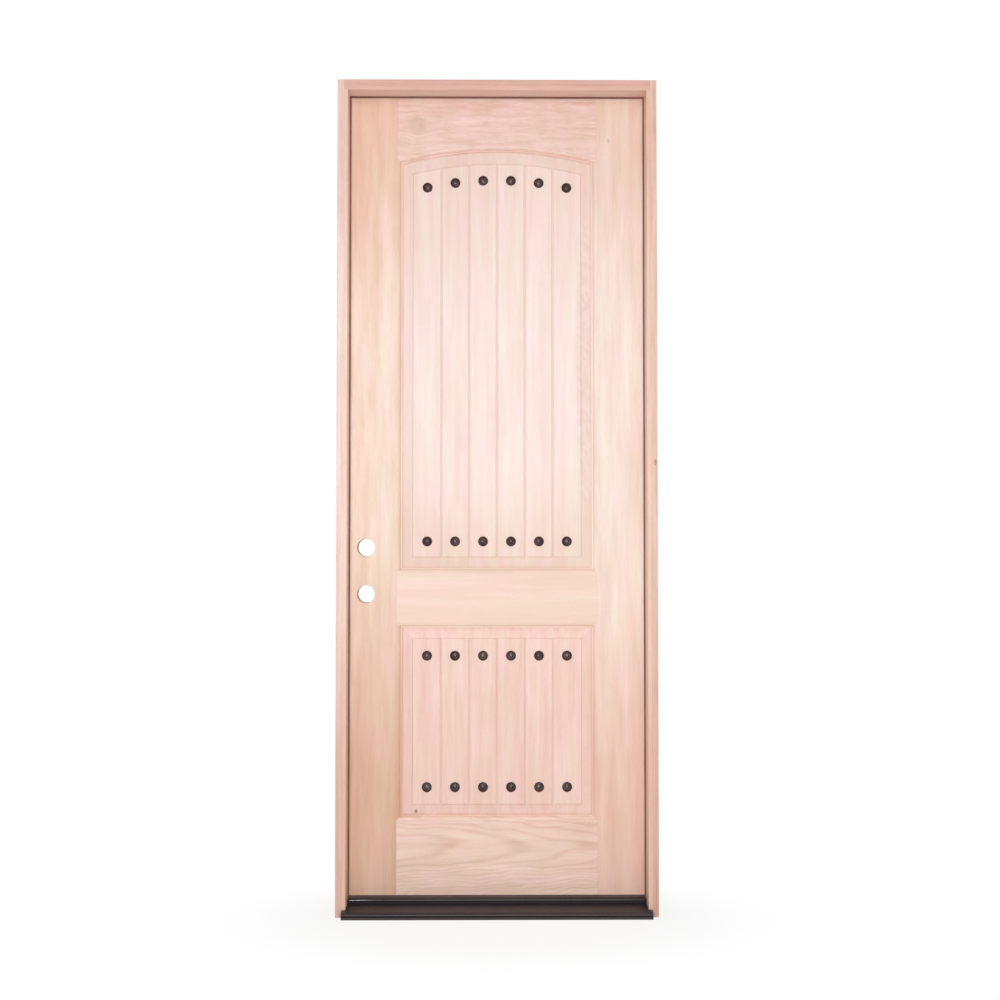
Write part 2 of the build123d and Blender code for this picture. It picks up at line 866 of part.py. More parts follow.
def plank_joint(k, tongued):
    """Points down one edge of a plank at joint k: tongued on its right edge, grooved on its left."""
    x = k * plank_pitch - field_half
    lean = -1 if tongued else 1
    reach = plank_tongue_reach if tongued else plank_tongue_reach + plank_end_gap
    half = plank_tongue / 2 if tongued else plank_tongue / 2 + plank_clearance
    return [
        (x + lean * (vee_depth + overrun), field_front - overrun),
        (x, field_front + vee_depth),
        (x, slab_middle - half),
        (x + reach, slab_middle - half),
        (x + reach, slab_middle + half),
        (x, slab_middle + half),
        (x, field_back - vee_depth),
        (x + lean * (vee_depth + overrun), field_back + overrun),
    ]


def plain_edge(x):
    """Points down the uncut outer edge of an end plank."""
    return [(x, field_front - overrun), (x, field_back + overrun)]


def plank(panel, index, low, high):
    """One plank of a panel, with its tongue, groove and vee joints."""
    end = opening_half + tongue_reach + overrun
    left = plank_joint(index, False) if index > 0 else plain_edge(-end)
    right = plank_joint(index + 1, True) if index < plank_count - 1 else plain_edge(end)
    points = [(x, y, low) for x, y in left + right[::-1]]
    return panel & prism([Polyline(*points, close=True)], (0, 0, 1), high - low)


def iron_nail():
    """A nail with a domed round head on the face at zero depth, its shank along +Y."""
    dome = nail_height - nail_rim
    ball = (nail_radius ** 2 + dome ** 2) / (2 * dome)
    half = nail_radius / 2
    arc = ThreePointArc(
        (0, -nail_height, 0),
        (half, ball - nail_height - sqrt(ball ** 2 - half ** 2), 0),
        (nail_radius, -nail_rim, 0))
    outline = Polyline(
        (nail_radius, -nail_rim, 0),
        (nail_radius, 0, 0),
        (nail_shank_radius, 0, 0),
        (nail_shank_radius, nail_shank_length - nail_shank_radius, 0),
        (0, nail_shank_length, 0),
        (0, -nail_height, 0))
    return revolve(make_face([arc, outline]), axis=Axis.Y)


def nail_rows():
    """Places of the four rows of nails, by name."""
    top_radius = arch_radius - arch_border - nail_inset_arch
    across = [(i + 1 / 2) * plank_pitch - field_half for i in range(plank_count)]
    upper_low = upper_sill + bevel_border + nail_inset_upper
    lower_low = lower_sill + bevel_border + nail_inset_lower
    lower_high = lower_head - bevel_border - nail_inset_lower
    return {
        "upper_panel_top_nails": [(x, arch_height(top_radius, x)) for x in across],
        "upper_panel_bottom_nails": [(x, upper_low) for x in across],
        "lower_panel_top_nails": [(x, lower_high) for x in across],
        "lower_panel_bottom_nails": [(x, lower_low) for x in across],
    }


def nail_holes(rows):
    """The pilot holes of some rows of nails."""
    length = nail_shank_length + nail_clearance
    return [
        rod((x, field_front - overrun, z), (x, field_front + length, z), nail_shank_radius + nail_clearance)
        for row in rows for x, z in row]


nail_places = nail_rows()
nail = iron_nail()
for name, row in nail_places.items():
    nodes[name] = group([Pos(x, field_front, z) * nail for x, z in row])

panels = {
    "upper": (upper_outline, upper_sill - tongue_reach - overrun, arch_crown + tongue_reach + overrun),
    "lower": (lower_outline, lower_sill - tongue_reach - overrun, lower_head + tongue_reach + overrun),
}
for level, (outline, low, high) in panels.items():
    panel = raised_panel(outline)
    holes = nail_holes([row for name, row in nail_places.items() if name.startswith(level)])
    for index in range(plank_count):
        nodes[f"{level}_plank_{index + 1}"] = cut(plank(panel, index, low, high), holes)


os.makedirs("parts", exist_ok=True)
for name, shape in nodes.items():
    export_step(shape, f"parts/{name}.step")
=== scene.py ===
"""Dresses a mahogany entrance door in its frame and stands it in a white studio.

Lengths are in metres: X runs across the doorway from the lock side to the hinge side, Y from
outdoors to indoors and Z upwards from the underside of the sill.
"""
import logging
import math
import random
from collections.abc import Sequence
from dataclasses import dataclass, field, replace
from enum import Enum

import bmesh
import bpy
from mathutils import Matrix, Vector


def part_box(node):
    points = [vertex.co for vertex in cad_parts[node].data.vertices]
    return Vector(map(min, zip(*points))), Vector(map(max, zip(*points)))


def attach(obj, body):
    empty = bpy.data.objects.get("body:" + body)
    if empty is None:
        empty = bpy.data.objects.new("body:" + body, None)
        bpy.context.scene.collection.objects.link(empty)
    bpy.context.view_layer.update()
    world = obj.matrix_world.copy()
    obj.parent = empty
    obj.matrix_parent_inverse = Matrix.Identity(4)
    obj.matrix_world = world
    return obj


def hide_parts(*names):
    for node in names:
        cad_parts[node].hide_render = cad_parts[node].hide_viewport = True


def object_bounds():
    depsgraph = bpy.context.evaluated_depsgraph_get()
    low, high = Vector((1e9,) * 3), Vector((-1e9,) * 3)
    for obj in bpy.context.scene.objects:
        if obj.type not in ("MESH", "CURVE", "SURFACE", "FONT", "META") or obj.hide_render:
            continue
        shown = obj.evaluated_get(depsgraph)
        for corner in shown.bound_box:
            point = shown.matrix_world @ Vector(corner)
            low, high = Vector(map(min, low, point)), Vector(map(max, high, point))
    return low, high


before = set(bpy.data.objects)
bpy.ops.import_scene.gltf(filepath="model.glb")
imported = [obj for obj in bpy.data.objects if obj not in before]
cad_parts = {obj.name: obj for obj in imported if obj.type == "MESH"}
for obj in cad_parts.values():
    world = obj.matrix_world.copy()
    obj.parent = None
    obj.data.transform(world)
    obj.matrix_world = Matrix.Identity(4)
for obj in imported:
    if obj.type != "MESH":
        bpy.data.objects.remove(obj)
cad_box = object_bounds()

log = logging.getLogger("entrance_door")

Colour = tuple[int, int, int]
Shade = tuple[float, float, float, float]
Span = tuple[float, float]
Place = tuple[float, float, float]
Socket = bpy.types.NodeSocket
Value = Socket | float

# Distances from the middle line at which level boards meet upright ones
RAIL_SHOULDER = 0.301625
HEAD_SHOULDER = 0.4572

# Middles of the lock's two bores, across the doorway and up
LOCK_BORES = ((-0.3937, 0.945375), (-0.3937, 1.085075))

# Range that a soft random pattern mostly keeps to, and the steeper part in its middle
PATTERN_SPAN: Span = (0.3, 0.7)
PATTERN_CORE: Span = (0.36, 0.64)

# Browns and tints that all mahogany boards share; two of them are painted shade at the planks'
# grooves
PORE_BROWN: Colour = (168, 122, 102)
KNOT_BROWN: Colour = (120, 76, 52)
GLUE_BROWN: Colour = (118, 78, 58)
# Painted shade in the crevice where a plank enters its groove
SEAT_SHADE: Colour = (128, 84, 66)
BORE_BROWN: Colour = (140, 96, 78)
# Painted shade on the flanks of the grooved joints between planks
JOINT_SHADE: Colour = (236, 216, 210)
CURL_SHADE: Colour = (205, 150, 128)
SALLOW_TINT: Colour = (253, 253, 247)
ROSY_TINT: Colour = (255, 249, 250)

# Painted shade, near black, in the drip groove of the sill's nose
GROOVE_SHADE: Colour = (10, 7, 8)


class GrainAxis(Enum):
    """The way the grain of a board runs."""

    UPRIGHT = "upright"
    LEVEL = "level"


class PanelLevel(Enum):
    """The two plank panels of the slab."""

    UPPER = "upper"
    LOWER = "lower"


def linear(colour: Colour) -> Shade:
    """Turns a screen colour into the linear colour that a shader takes.

    Args:
        colour: Red, green and blue from 0 to 255.

    Returns:
        Linear red, green, blue and a full alpha.
    """
    parts = []
    for part in colour:
        share = part / 255
        parts.append(share / 12.92 if share <= 0.04045 else ((share + 0.055) / 1.055) ** 2.4)
    return (*parts, 1.0)


class ShaderSheet:
    """A new material with short calls for the nodes that the finishes share."""

    def __init__(self, name: str) -> None:
        """Starts a material with a plain surface shader.

        Args:
            name: The material's name.
        """
        self.material = bpy.data.materials.new(name)
        self.material.use_nodes = True
        self.tree = self.material.node_tree
        self.shader = self.tree.nodes["Principled BSDF"]

    def add(self, kind: str, **settings: object) -> bpy.types.Node:
        """Adds a node.

        Args:
            kind: The node's type.
            settings: Values for the node's own properties.

        Returns:
            The new node.
        """
        node = self.tree.nodes.new(kind)
        for key, value in settings.items():
            setattr(node, key, value)
        return node

    def feed(self, socket: Socket, value: Value | Shade) -> None:
        """Links a socket to another, or sets its value.

        Args:
            socket: The input to fill.
            value: An output socket, a number or a colour.
        """
        if isinstance(value, Socket):
            self.tree.links.new(value, socket)
        else:
            socket.default_value = value

    def math(
        self, operation: str, first: Value, second: Value = 0.0, third: Value = 0.0
    ) -> Socket:
        """Adds a sum.

        Args:
            operation: The Math node's operation.
            first: First value.
            second: Second value.
            third: Third value.

        Returns:
            The result's socket.
        """
        node = self.add("ShaderNodeMath", operation=operation)
        for socket, value in zip(node.inputs, (first, second, third)):
            self.feed(socket, value)
        return node.outputs[0]

    def mean(self, first: Value, second: Value) -> Socket:
        """Gives the mean of two values."""
        return self.math("MULTIPLY_ADD", first, 0.5, self.math("MULTIPLY", second, 0.5))

    def squares(self, first: Value, second: Value) -> Socket:
        """Gives the sum of the squares of two values."""
        return self.math("MULTIPLY_ADD", first, first, self.math("MULTIPLY", second, second))

    def axes(self) -> list[Socket]:
        """Gives the X, Y and Z of a point in the door's own frame.

        Returns:
            The three sockets.
        """
        coords = self.add("ShaderNodeTexCoord")
        split = self.add("ShaderNodeSeparateXYZ")
        self.feed(split.inputs[0], coords.outputs["Object"])
        return list(split.outputs)

    def vector(self, x: Value, y: Value, z: Value) -> Socket:
        """Joins three values into one vector.

        Args:
            x: First part.
            y: Second part.
            z: Third part.

        Returns:
            The vector's socket.
        """
        node = self.add("ShaderNodeCombineXYZ")
        for socket, value in zip(node.inputs, (x, y, z)):
            self.feed(socket, value)
        return node.outputs[0]

    def noise(self, place: Socket, detail: float, roughness: float = 0.5) -> Socket:
        """Adds a soft random pattern.

        Args:
            place: Where the pattern is read, one grain per unit.
            detail: How many finer patterns lie on it.
            roughness: How strong the finer ones are.

        Returns:
            A value around a half.
        """
        node = self.add("ShaderNodeTexNoise")
        self.feed(node.inputs["Vector"], place)
        self.feed(node.inputs["Scale"], 1.0)
        self.feed(node.inputs["Detail"], detail)
        self.feed(node.inputs["Roughness"], roughness)
        return node.outputs[0]

    def span(
        self, value: Value, low: float, high: float, start: float = 0.0, end: float = 1.0
    ) -> Socket:
        """Spreads a value smoothly from one range to another.

        Args:
            value: The value to spread.
            low: Where it starts.
            high: Where it ends.
            start: What the lower end becomes.
            end: What the upper end becomes.

        Returns:
            The spread value.
        """
        node = self.add("ShaderNodeMapRange", interpolation_type="SMOOTHSTEP")
        for socket, part in zip(node.inputs, (value, low, high, start, end)):
            self.feed(socket, part)
        return node.outputs[0]

    def mix(
        self, share: Value, first: Value | Shade, second: Value | Shade, blend: str = "MIX"
    ) -> Socket:
        """Mixes two colours.

        Args:
            share: How much of the second colour shows.
            first: First colour.
            second: Second colour.
            blend: How the second colour is laid on the first.

        Returns:
            The mixed colour.
        """
        node = self.add("ShaderNodeMix", data_type="RGBA", blend_type=blend)
        self.feed(node.inputs["Factor"], share)
        self.feed(node.inputs[6], first)
        self.feed(node.inputs[7], second)
        return node.outputs[2]

    def ramp(self, value: Socket, stops: Sequence[tuple[float, Shade]]) -> Socket:
        """Turns a value into a colour.

        Args:
            value: The value to look up.
            stops: Places from 0 to 1 with their linear colours.

        Returns:
            The colour.
        """
        node = self.add("ShaderNodeValToRGB")
        elements = node.color_ramp.elements
        while len(elements) < len(stops):
            elements.new(0.5)
        for element, (place, colour) in zip(elements, stops):
            element.position = place
            element.color = colour
        self.feed(node.inputs[0], value)
        return node.outputs[0]

    def relief(self, height: Socket, strength: float, depth: float) -> None:
        """Gives the surface a fine relief.

        Args:
            height: The relief's height, from 0 to 1.
            strength: How strongly it shows.
            depth: How deep it is, in metres.
        """
        node = self.add("ShaderNodeBump")
        self.feed(node.inputs["Strength"], strength)
        self.feed(node.inputs["Distance"], depth)
        self.feed(node.inputs["Height"], height)
        self.feed(self.shader.inputs["Normal"], node.outputs[0])


@dataclass(frozen=True)
class GrainLayer:
    """One layer of streaks in the wood.

    Args:
        width: Width of a streak.
        length: Length of a streak in straight grain.
        detail: How many finer streaks lie on it.
        share: How strongly it shows, from 0 to 1.
        gain: How much stronger it shows where fine lines are at their strongest.
    """

    width: float
    length: float
    detail: float
    share: float
    gain: float = 0.0

    def strength(self, lines: float) -> float:
        """Tells how strongly the layer shows on a board with such lines."""
        return self.share + self.gain * lines


# Layers of a board from coarse to fine; a board sets the width of its own broad stripes
BROAD = GrainLayer(width=0.030, length=1.1, detail=3.0, share=0.62, gain=-0.26)
CLOUD = GrainLayer(width=0.055, length=0.40, detail=2.0, share=0.18)
STREAK = GrainLayer(width=0.0085, length=0.42, detail=4.0, share=0.10, gain=0.22)
FINE = GrainLayer(width=0.0026, length=0.08, detail=2.0, share=0.10, gain=0.04)
PORES = GrainLayer(width=0.0012, length=0.016, detail=1.0, share=0.05, gain=0.16)

# How rough a layer's finer streaks are, and how far a seed moves a layer across and along
STREAK_ROUGHNESS = 0.55
SEED_SHIFT: Span = (13.7, 5.3)


@dataclass(frozen=True)
class Knot:
    """A spot that the grain flows round.

    Args:
        x: Place across the doorway.
        z: Height.
        size: Half width of the disturbed grain.
        dark: How dark the heart of the spot is, from 0 to 1.
        stretch: How much longer than wide it is.
        parting: How far the grain parts, from 0 to 1.
        heart: How near the middle the heart starts and is full, where 1 is the middle.
    """

    x: float
    z: float
    size: float
    dark: float = 0.0
    stretch: float = 2.2
    parting: float = 0.85
    heart: Span = (0.30, 0.75)


@dataclass(frozen=True)
class Cathedral:
    """Nested arches where a flat-sawn board cuts the growth rings.

    Args:
        x: Place of the arches' tips across the doorway.
        z: Height of the arches' middle line.
        spacing: Distance between the tips.
        sharpness: How fast the arches close in on the middle line, per metre.
        show: How strongly they show, from 0 to 1.
        waves: How often the arches sway in a metre, across and up.
        sway: How far they sway.
        fray: How far the streaks fray them, as a share of the spacing.
        line: Half width of an arch's dark line, as a share of the spacing.
        tones: The wood's tone on that line and beside it.
    """

    x: float
    z: float
    spacing: float
    sharpness: float
    show: float
    waves: Span = (5.0, 16.0)
    sway: float = 0.060
    fray: float = 0.35
    line: float = 0.30
    tones: Span = (0.34, 0.60)


@dataclass(frozen=True)
class Curl:
    """Short bright and dark bars across the grain.

    Args:
        x: Middle of the patch across the doorway.
        z: Height of its middle.
        half_width: Half width of the patch.
        half_height: Half height of the patch.
        pitch: Distance between two bars.
        show: How strongly the bars show.
        slant: How steeply the bars fall towards the hinge side.
        breaks: How often a bar breaks in a metre.
        fade: Where the bars start and end to fade, as squares of shares of the half sizes.
    """

    x: float
    z: float
    half_width: float
    half_height: float
    pitch: float
    show: float
    slant: float = 0.7
    breaks: float = 60.0
    fade: Span = (0.3, 1.2)


@dataclass(frozen=True)
class PlankBed:
    """How a plank lies in its panel.

    Args:
        middle: Depth of the slab's middle plane.
        face: Distance from that plane to the planks' faces.
        pitch: Distance between the grooved joints.
        inner: How far from the middle line planks are jointed to others, in pitches.
        seat_shade: Distances from the middle plane over which the painted shade at the groove
            fades.
        seat_shade_show: How strongly that painted shade shows.
        groove: Distances from a joint over which its strip of painted shade fades.
        groove_shade_show: How strongly that strip of painted shade shows.
        raised: Depths under the face at which the strip ends and is whole.
    """

    middle: float
    face: float
    pitch: float
    inner: float = 2.5
    # Painted shade at the groove seat and on the joints between planks
    seat_shade: Span = (0.0061, 0.0075)
    seat_shade_show: float = 0.10
    groove: Span = (0.0025, 0.0055)
    groove_shade_show: float = 0.5
    raised: Span = (0.0029, 0.0025)


@dataclass(frozen=True)
class WoodFinish:
    """Bare sanded mahogany of one board.

    Args:
        name: The board's node.
        pale: Colour of the palest grain.
        deep: Colour of the deepest grain.
        axis: The way the grain runs.
        seed: Moves the pattern, so that no two boards are alike.
        stripe: Width of the broad stripes.
        wander: How far the grain wanders sideways.
        reach: How long the streaks run, as a share of straight grain's.
        ripple: How often the grain wanders in a metre.
        ripple_across: How much more often it does so across the board.
        lines: How strongly fine lines show, from 0 to 1.
        knots: Spots that the grain flows round.
        cathedral: Arched figure, if any.
        curl: Bars across the grain, if any.
        foot_shade: Tint that darkens the board towards its lower end as painted shade, if any.
        foot_shade_span: Heights at which that painted shade is full and gone.
        crown_shade: Tint that darkens it towards its upper end as painted shade, if any.
        crown_shade_span: Heights at which that painted shade starts and is full.
        front: Tint that darkens the face towards outdoors of a piece of the frame as painted
            shade, if any.
        front_shade_depth: How deep that painted shade goes.
        ends: Distance from the middle line of the glued end joints, if any.
        glue_width: Width of the darkened line at such a joint.
        glue_show: How strongly the line shows.
        bed: How the board lies in a panel, if it is a plank.
        bores: Middles of round bores, across the doorway and up.
        bore_radius: Radius of the bores.
        bore_edge: Width over which a bore's rim turns dark.
        bore_show: How dark the inside of a bore is, from 0 to 1.
        tones: Tones at which the deep, middle and pale colours lie.
        pore_span: Where a pore's pattern starts and is full.
        roughness: How matt the wood is.
        uneven: How much more matt and how much glossier the fine streaks make it.
        fine_height: How far they stand up, as a share of the relief.
        relief: How strongly its fine relief shows.
        relief_depth: How deep that relief is.
    """

    name: str
    pale: Colour
    deep: Colour
    axis: GrainAxis
    seed: float
    stripe: float = BROAD.width
    wander: float = 0.010
    reach: float = 0.36
    ripple: float = 1.6
    ripple_across: float = 3.0
    lines: float = 0.5
    knots: tuple[Knot, ...] = ()
    cathedral: Cathedral | None = None
    curl: Curl | None = None
    # Painted shade towards the board's ends
    foot_shade: Colour | None = None
    foot_shade_span: Span = (0.3, 1.2)
    crown_shade: Colour | None = None
    crown_shade_span: Span = (1.7, 2.4)
    # Painted shade on the frame's face towards outdoors
    front: Colour | None = None
    front_shade_depth: float = 0.0005
    ends: float | None = None
    glue_width: float = 0.0012
    glue_show: float = 0.22
    bed: PlankBed | None = None
    bores: tuple[Span, ...] = ()
    bore_radius: float = 0.0274
    bore_edge: float = 0.0002
    bore_show: float = 0.75
    tones: tuple[float, float, float] = (0.37, 0.50, 0.63)
    pore_span: Span = (0.60, 0.72)
    roughness: float = 0.46
    uneven: Span = (0.08, 0.06)
    fine_height: float = 0.6
    relief: float = 0.18
    relief_depth: float = 0.0006

    def material(self) -> bpy.types.Material:
        """Builds the board's material.

        Returns:
            The new material.
        """
        sheet = ShaderSheet(f"mahogany_{self.name}")
        x, y, z = sheet.axes()
        along, across = (z, x) if self.axis is GrainAxis.UPRIGHT else (x, z)
        across, heart = self._flow(sheet, along, across)
        layers = (replace(BROAD, width=self.stripe), STREAK, FINE, CLOUD)
        values = [self._layer(sheet, along, across, y, layer) for layer in layers]
        tone = 0.0
        for layer, value in zip(layers, values):
            tone = sheet.math("MULTIPLY_ADD", value, layer.strength(self.lines), tone)
        _, streak, fine, cloud = values
        if self.cathedral:
            tone = self._arches(sheet, x, z, streak, tone)
        colours = (linear(self.deep), self._middle(), linear(self.pale))
        colour = sheet.ramp(tone, tuple(zip(self.tones, colours)))
        blush = sheet.span(cloud, *PATTERN_CORE)
        tint = sheet.mix(blush, linear(SALLOW_TINT), linear(ROSY_TINT))
        colour = sheet.mix(1.0, colour, tint, "MULTIPLY")
        colour = self._paint_end_and_front_shade(sheet, y, z, colour)
        if self.curl:
            colour = self._bars(sheet, x, z, colour)
        pores = self._layer(sheet, along, across, y, PORES)
        pore_share = sheet.span(pores, *self.pore_span, 0.0, PORES.strength(self.lines))
        colour = sheet.mix(pore_share, colour, linear(PORE_BROWN))
        if heart is not None:
            colour = sheet.mix(heart, colour, linear(KNOT_BROWN))
        if self.ends:
            outward = sheet.math("ABSOLUTE", x)
            glue = sheet.span(outward, self.ends - self.glue_width, self.ends, 0.0, self.glue_show)
            colour = sheet.mix(glue, colour, linear(GLUE_BROWN))
        if self.bed:
            colour = self._paint_joint_shade(sheet, x, y, colour)
        colour = self._bored(sheet, x, z, colour)
        sheet.feed(sheet.shader.inputs["Base Color"], colour)
        duller, glossier = self.uneven
        matt = sheet.span(
            fine, *PATTERN_SPAN, self.roughness + duller, self.roughness - glossier)
        sheet.feed(sheet.shader.inputs["Roughness"], matt)
        raised = sheet.math("MULTIPLY", fine, self.fine_height)
        height = sheet.math("SUBTRACT", raised, pore_share)
        sheet.relief(height, self.relief, self.relief_depth)
        return sheet.material

    def _middle(self) -> Shade:
        """Gives the linear colour halfway between deep and pale grain."""
        return tuple((a + b) / 2 for a, b in zip(linear(self.deep), linear(self.pale)))

    def _flow(
        self, sheet: ShaderSheet, along: Socket, across: Socket
    ) -> tuple[Socket, Socket | None]:
        """Lets the grain wander, and part round the knots.

        Args:
            sheet: The material.
            along: Distance along the grain.
            across: Distance across the grain.

        Returns:
            The bent distance across the grain, and how near a point is to a dark heart.
        """
        drift = sheet.noise(sheet.vector(
            sheet.math("MULTIPLY_ADD", along, self.ripple, self.seed),
            sheet.math("MULTIPLY", across, self.ripple_across * self.ripple), self.seed), 2.0)
        bent = sheet.math("MULTIPLY_ADD", drift, self.wander, across)
        heart = None
        upright = self.axis is GrainAxis.UPRIGHT
        for knot in self.knots:
            at_along, at_across = (knot.z, knot.x) if upright else (knot.x, knot.z)
            off_along = sheet.math("SUBTRACT", along, at_along)
            off_across = sheet.math("SUBTRACT", across, at_across)
            square = sheet.squares(
                sheet.math("DIVIDE", off_across, knot.size),
                sheet.math("DIVIDE", off_along, knot.stretch * knot.size))
            near = sheet.math("EXPONENT", sheet.math("MULTIPLY", square, -1.0))
            push = sheet.math("MULTIPLY", sheet.math("MULTIPLY", off_across, near), knot.parting)
            bent = sheet.math("SUBTRACT", bent, push)
            if knot.dark:
                spot = sheet.span(near, *knot.heart, 0.0, knot.dark)
                heart = spot if heart is None else sheet.math("MAXIMUM", heart, spot)
        return bent, heart

    def _layer(
        self, sheet: ShaderSheet, along: Socket, across: Socket, depth: Socket, layer: GrainLayer
    ) -> Socket:
        """Adds one layer of long streaks.

        Args:
            sheet: The material.
            along: Distance along the grain.
            across: Distance across the grain.
            depth: Distance into the board.
            layer: The streaks' sizes.

        Returns:
            The layer's value, around a half.
        """
        shift_across, shift_along = (shift * self.seed for shift in SEED_SHIFT)
        return sheet.noise(sheet.vector(
            sheet.math("MULTIPLY_ADD", across, 1 / layer.width, shift_across),
            sheet.math("MULTIPLY_ADD", along, 1 / (layer.length * self.reach), shift_along),
            sheet.math("MULTIPLY", depth, 1 / layer.width)), layer.detail, STREAK_ROUGHNESS)

    def _arches(
        self, sheet: ShaderSheet, x: Socket, z: Socket, streak: Socket, tone: Socket
    ) -> Socket:
        """Lays the arched figure over the streaks.

        Args:
            sheet: The material.
            x: Place across the doorway.
            z: Height.
            streak: A streak layer that frays the arches.
            tone: The wood's tone so far.

        Returns:
            The tone with arches.
        """
        arch = self.cathedral
        wave_x, wave_z = arch.waves
        wave = sheet.noise(sheet.vector(
            sheet.math("MULTIPLY", x, wave_x), sheet.math("MULTIPLY", z, wave_z), self.seed), 2.0)
        level = sheet.math("SUBTRACT", z, arch.z)
        rise = sheet.math("MULTIPLY_ADD", sheet.math("SUBTRACT", wave, 0.5), arch.sway, level)
        bow = sheet.math("MULTIPLY", sheet.math("MULTIPLY", rise, rise), arch.sharpness)
        tip = sheet.math("ADD", sheet.math("SUBTRACT", x, arch.x), bow)
        ring = sheet.math("DIVIDE", tip, arch.spacing)
        ring = sheet.math("MULTIPLY_ADD", streak, arch.fray, ring)
        off = sheet.math("ABSOLUTE", sheet.math("SUBTRACT", sheet.math("FRACT", ring), 0.5))
        line = sheet.span(off, 0.0, arch.line, *arch.tones)
        return sheet.math("MULTIPLY_ADD", sheet.math("SUBTRACT", line, tone), arch.show, tone)

    def _paint_end_and_front_shade(self, sheet: ShaderSheet, y: Socket, z: Socket, colour: Socket) -> Socket:
        """Paints shade on the board towards its ends and on its front face, as tints.

        Args:
            sheet: The material.
            y: Depth.
            z: Height.
            colour: The wood's colour so far.

        Returns:
            The tinted colour.
        """
        # Painted shade: the board darkens towards its lower and upper ends
        if self.foot_shade:
            low = sheet.span(z, *self.foot_shade_span, 1.0, 0.0)
            colour = sheet.mix(low, colour, linear(self.foot_shade), "MULTIPLY")
        if self.crown_shade:
            high = sheet.span(z, *self.crown_shade_span)
            colour = sheet.mix(high, colour, linear(self.crown_shade), "MULTIPLY")
        # Painted shade: the face towards outdoors is darkened against the rest of the board
        if self.front:
            face = sheet.math("LESS_THAN", y, self.front_shade_depth)
            colour = sheet.mix(face, colour, linear(self.front), "MULTIPLY")
        return colour

    def _bars(self, sheet: ShaderSheet, x: Socket, z: Socket, colour: Socket) -> Socket:
        """Lays curled bars over a patch of the board.

        Args:
            sheet: The material.
            x: Place across the doorway.
            z: Height.
            colour: The wood's colour so far.

        Returns:
            The colour with the bars.
        """
        curl = self.curl
        side = sheet.math("DIVIDE", sheet.math("SUBTRACT", x, curl.x), curl.half_width)
        high = sheet.math("DIVIDE", sheet.math("SUBTRACT", z, curl.z), curl.half_height)
        patch = sheet.span(sheet.squares(side, high), *curl.fade, curl.show, 0.0)
        slanted = sheet.math("MULTIPLY_ADD", x, curl.slant, z)
        bars = sheet.noise(sheet.vector(
            sheet.math("MULTIPLY", x, curl.breaks),
            sheet.math("MULTIPLY", slanted, 1 / curl.pitch), self.seed), 2.0)
        share = sheet.math("MULTIPLY", sheet.span(bars, *PATTERN_CORE), patch)
        return sheet.mix(share, colour, linear(CURL_SHADE), "MULTIPLY")

    def _paint_joint_shade(self, sheet: ShaderSheet, x: Socket, y: Socket, colour: Socket) -> Socket:
        """Paints shade on the line where a plank enters its groove and on the joints between
        planks.

        Args:
            sheet: The material.
            x: Place across the doorway.
            y: Depth.
            colour: The wood's colour so far.

        Returns:
            The colour with painted shade at its joints.
        """
        bed = self.bed
        depth = sheet.math("ABSOLUTE", sheet.math("SUBTRACT", y, bed.middle))
        # Painted shade in the crevice where the plank enters its groove
        seat_shade = sheet.span(depth, *bed.seat_shade, bed.seat_shade_show, 0.0)
        colour = sheet.mix(seat_shade, colour, linear(SEAT_SHADE))
        # Painted shade on the flanks of the grooved joints between inner planks
        off = sheet.math("PINGPONG", x, bed.pitch / 2)
        near = sheet.span(off, *bed.groove, bed.groove_shade_show, 0.0)
        outward = sheet.math("ABSOLUTE", x)
        inner = sheet.math("LESS_THAN", outward, bed.inner * bed.pitch)
        raised = sheet.span(depth, *(bed.face - drop for drop in bed.raised))
        share = sheet.math("MULTIPLY", near, sheet.math("MULTIPLY", inner, raised))
        return sheet.mix(share, colour, linear(JOINT_SHADE))

    def _bored(self, sheet: ShaderSheet, x: Socket, z: Socket, colour: Socket) -> Socket:
        """Darkens the end grain inside the bores.

        Args:
            sheet: The material.
            x: Place across the doorway.
            z: Height.
            colour: The wood's colour so far.

        Returns:
            The colour with its bores.
        """
        for bore_x, bore_z in self.bores:
            side = sheet.math("SUBTRACT", x, bore_x)
            high = sheet.math("SUBTRACT", z, bore_z)
            far = sheet.math("SQRT", sheet.squares(side, high))
            rim = self.bore_radius - self.bore_edge
            inside = sheet.span(far, rim, self.bore_radius, self.bore_show, 0.0)
            colour = sheet.mix(inside, colour, linear(BORE_BROWN))
        return colour


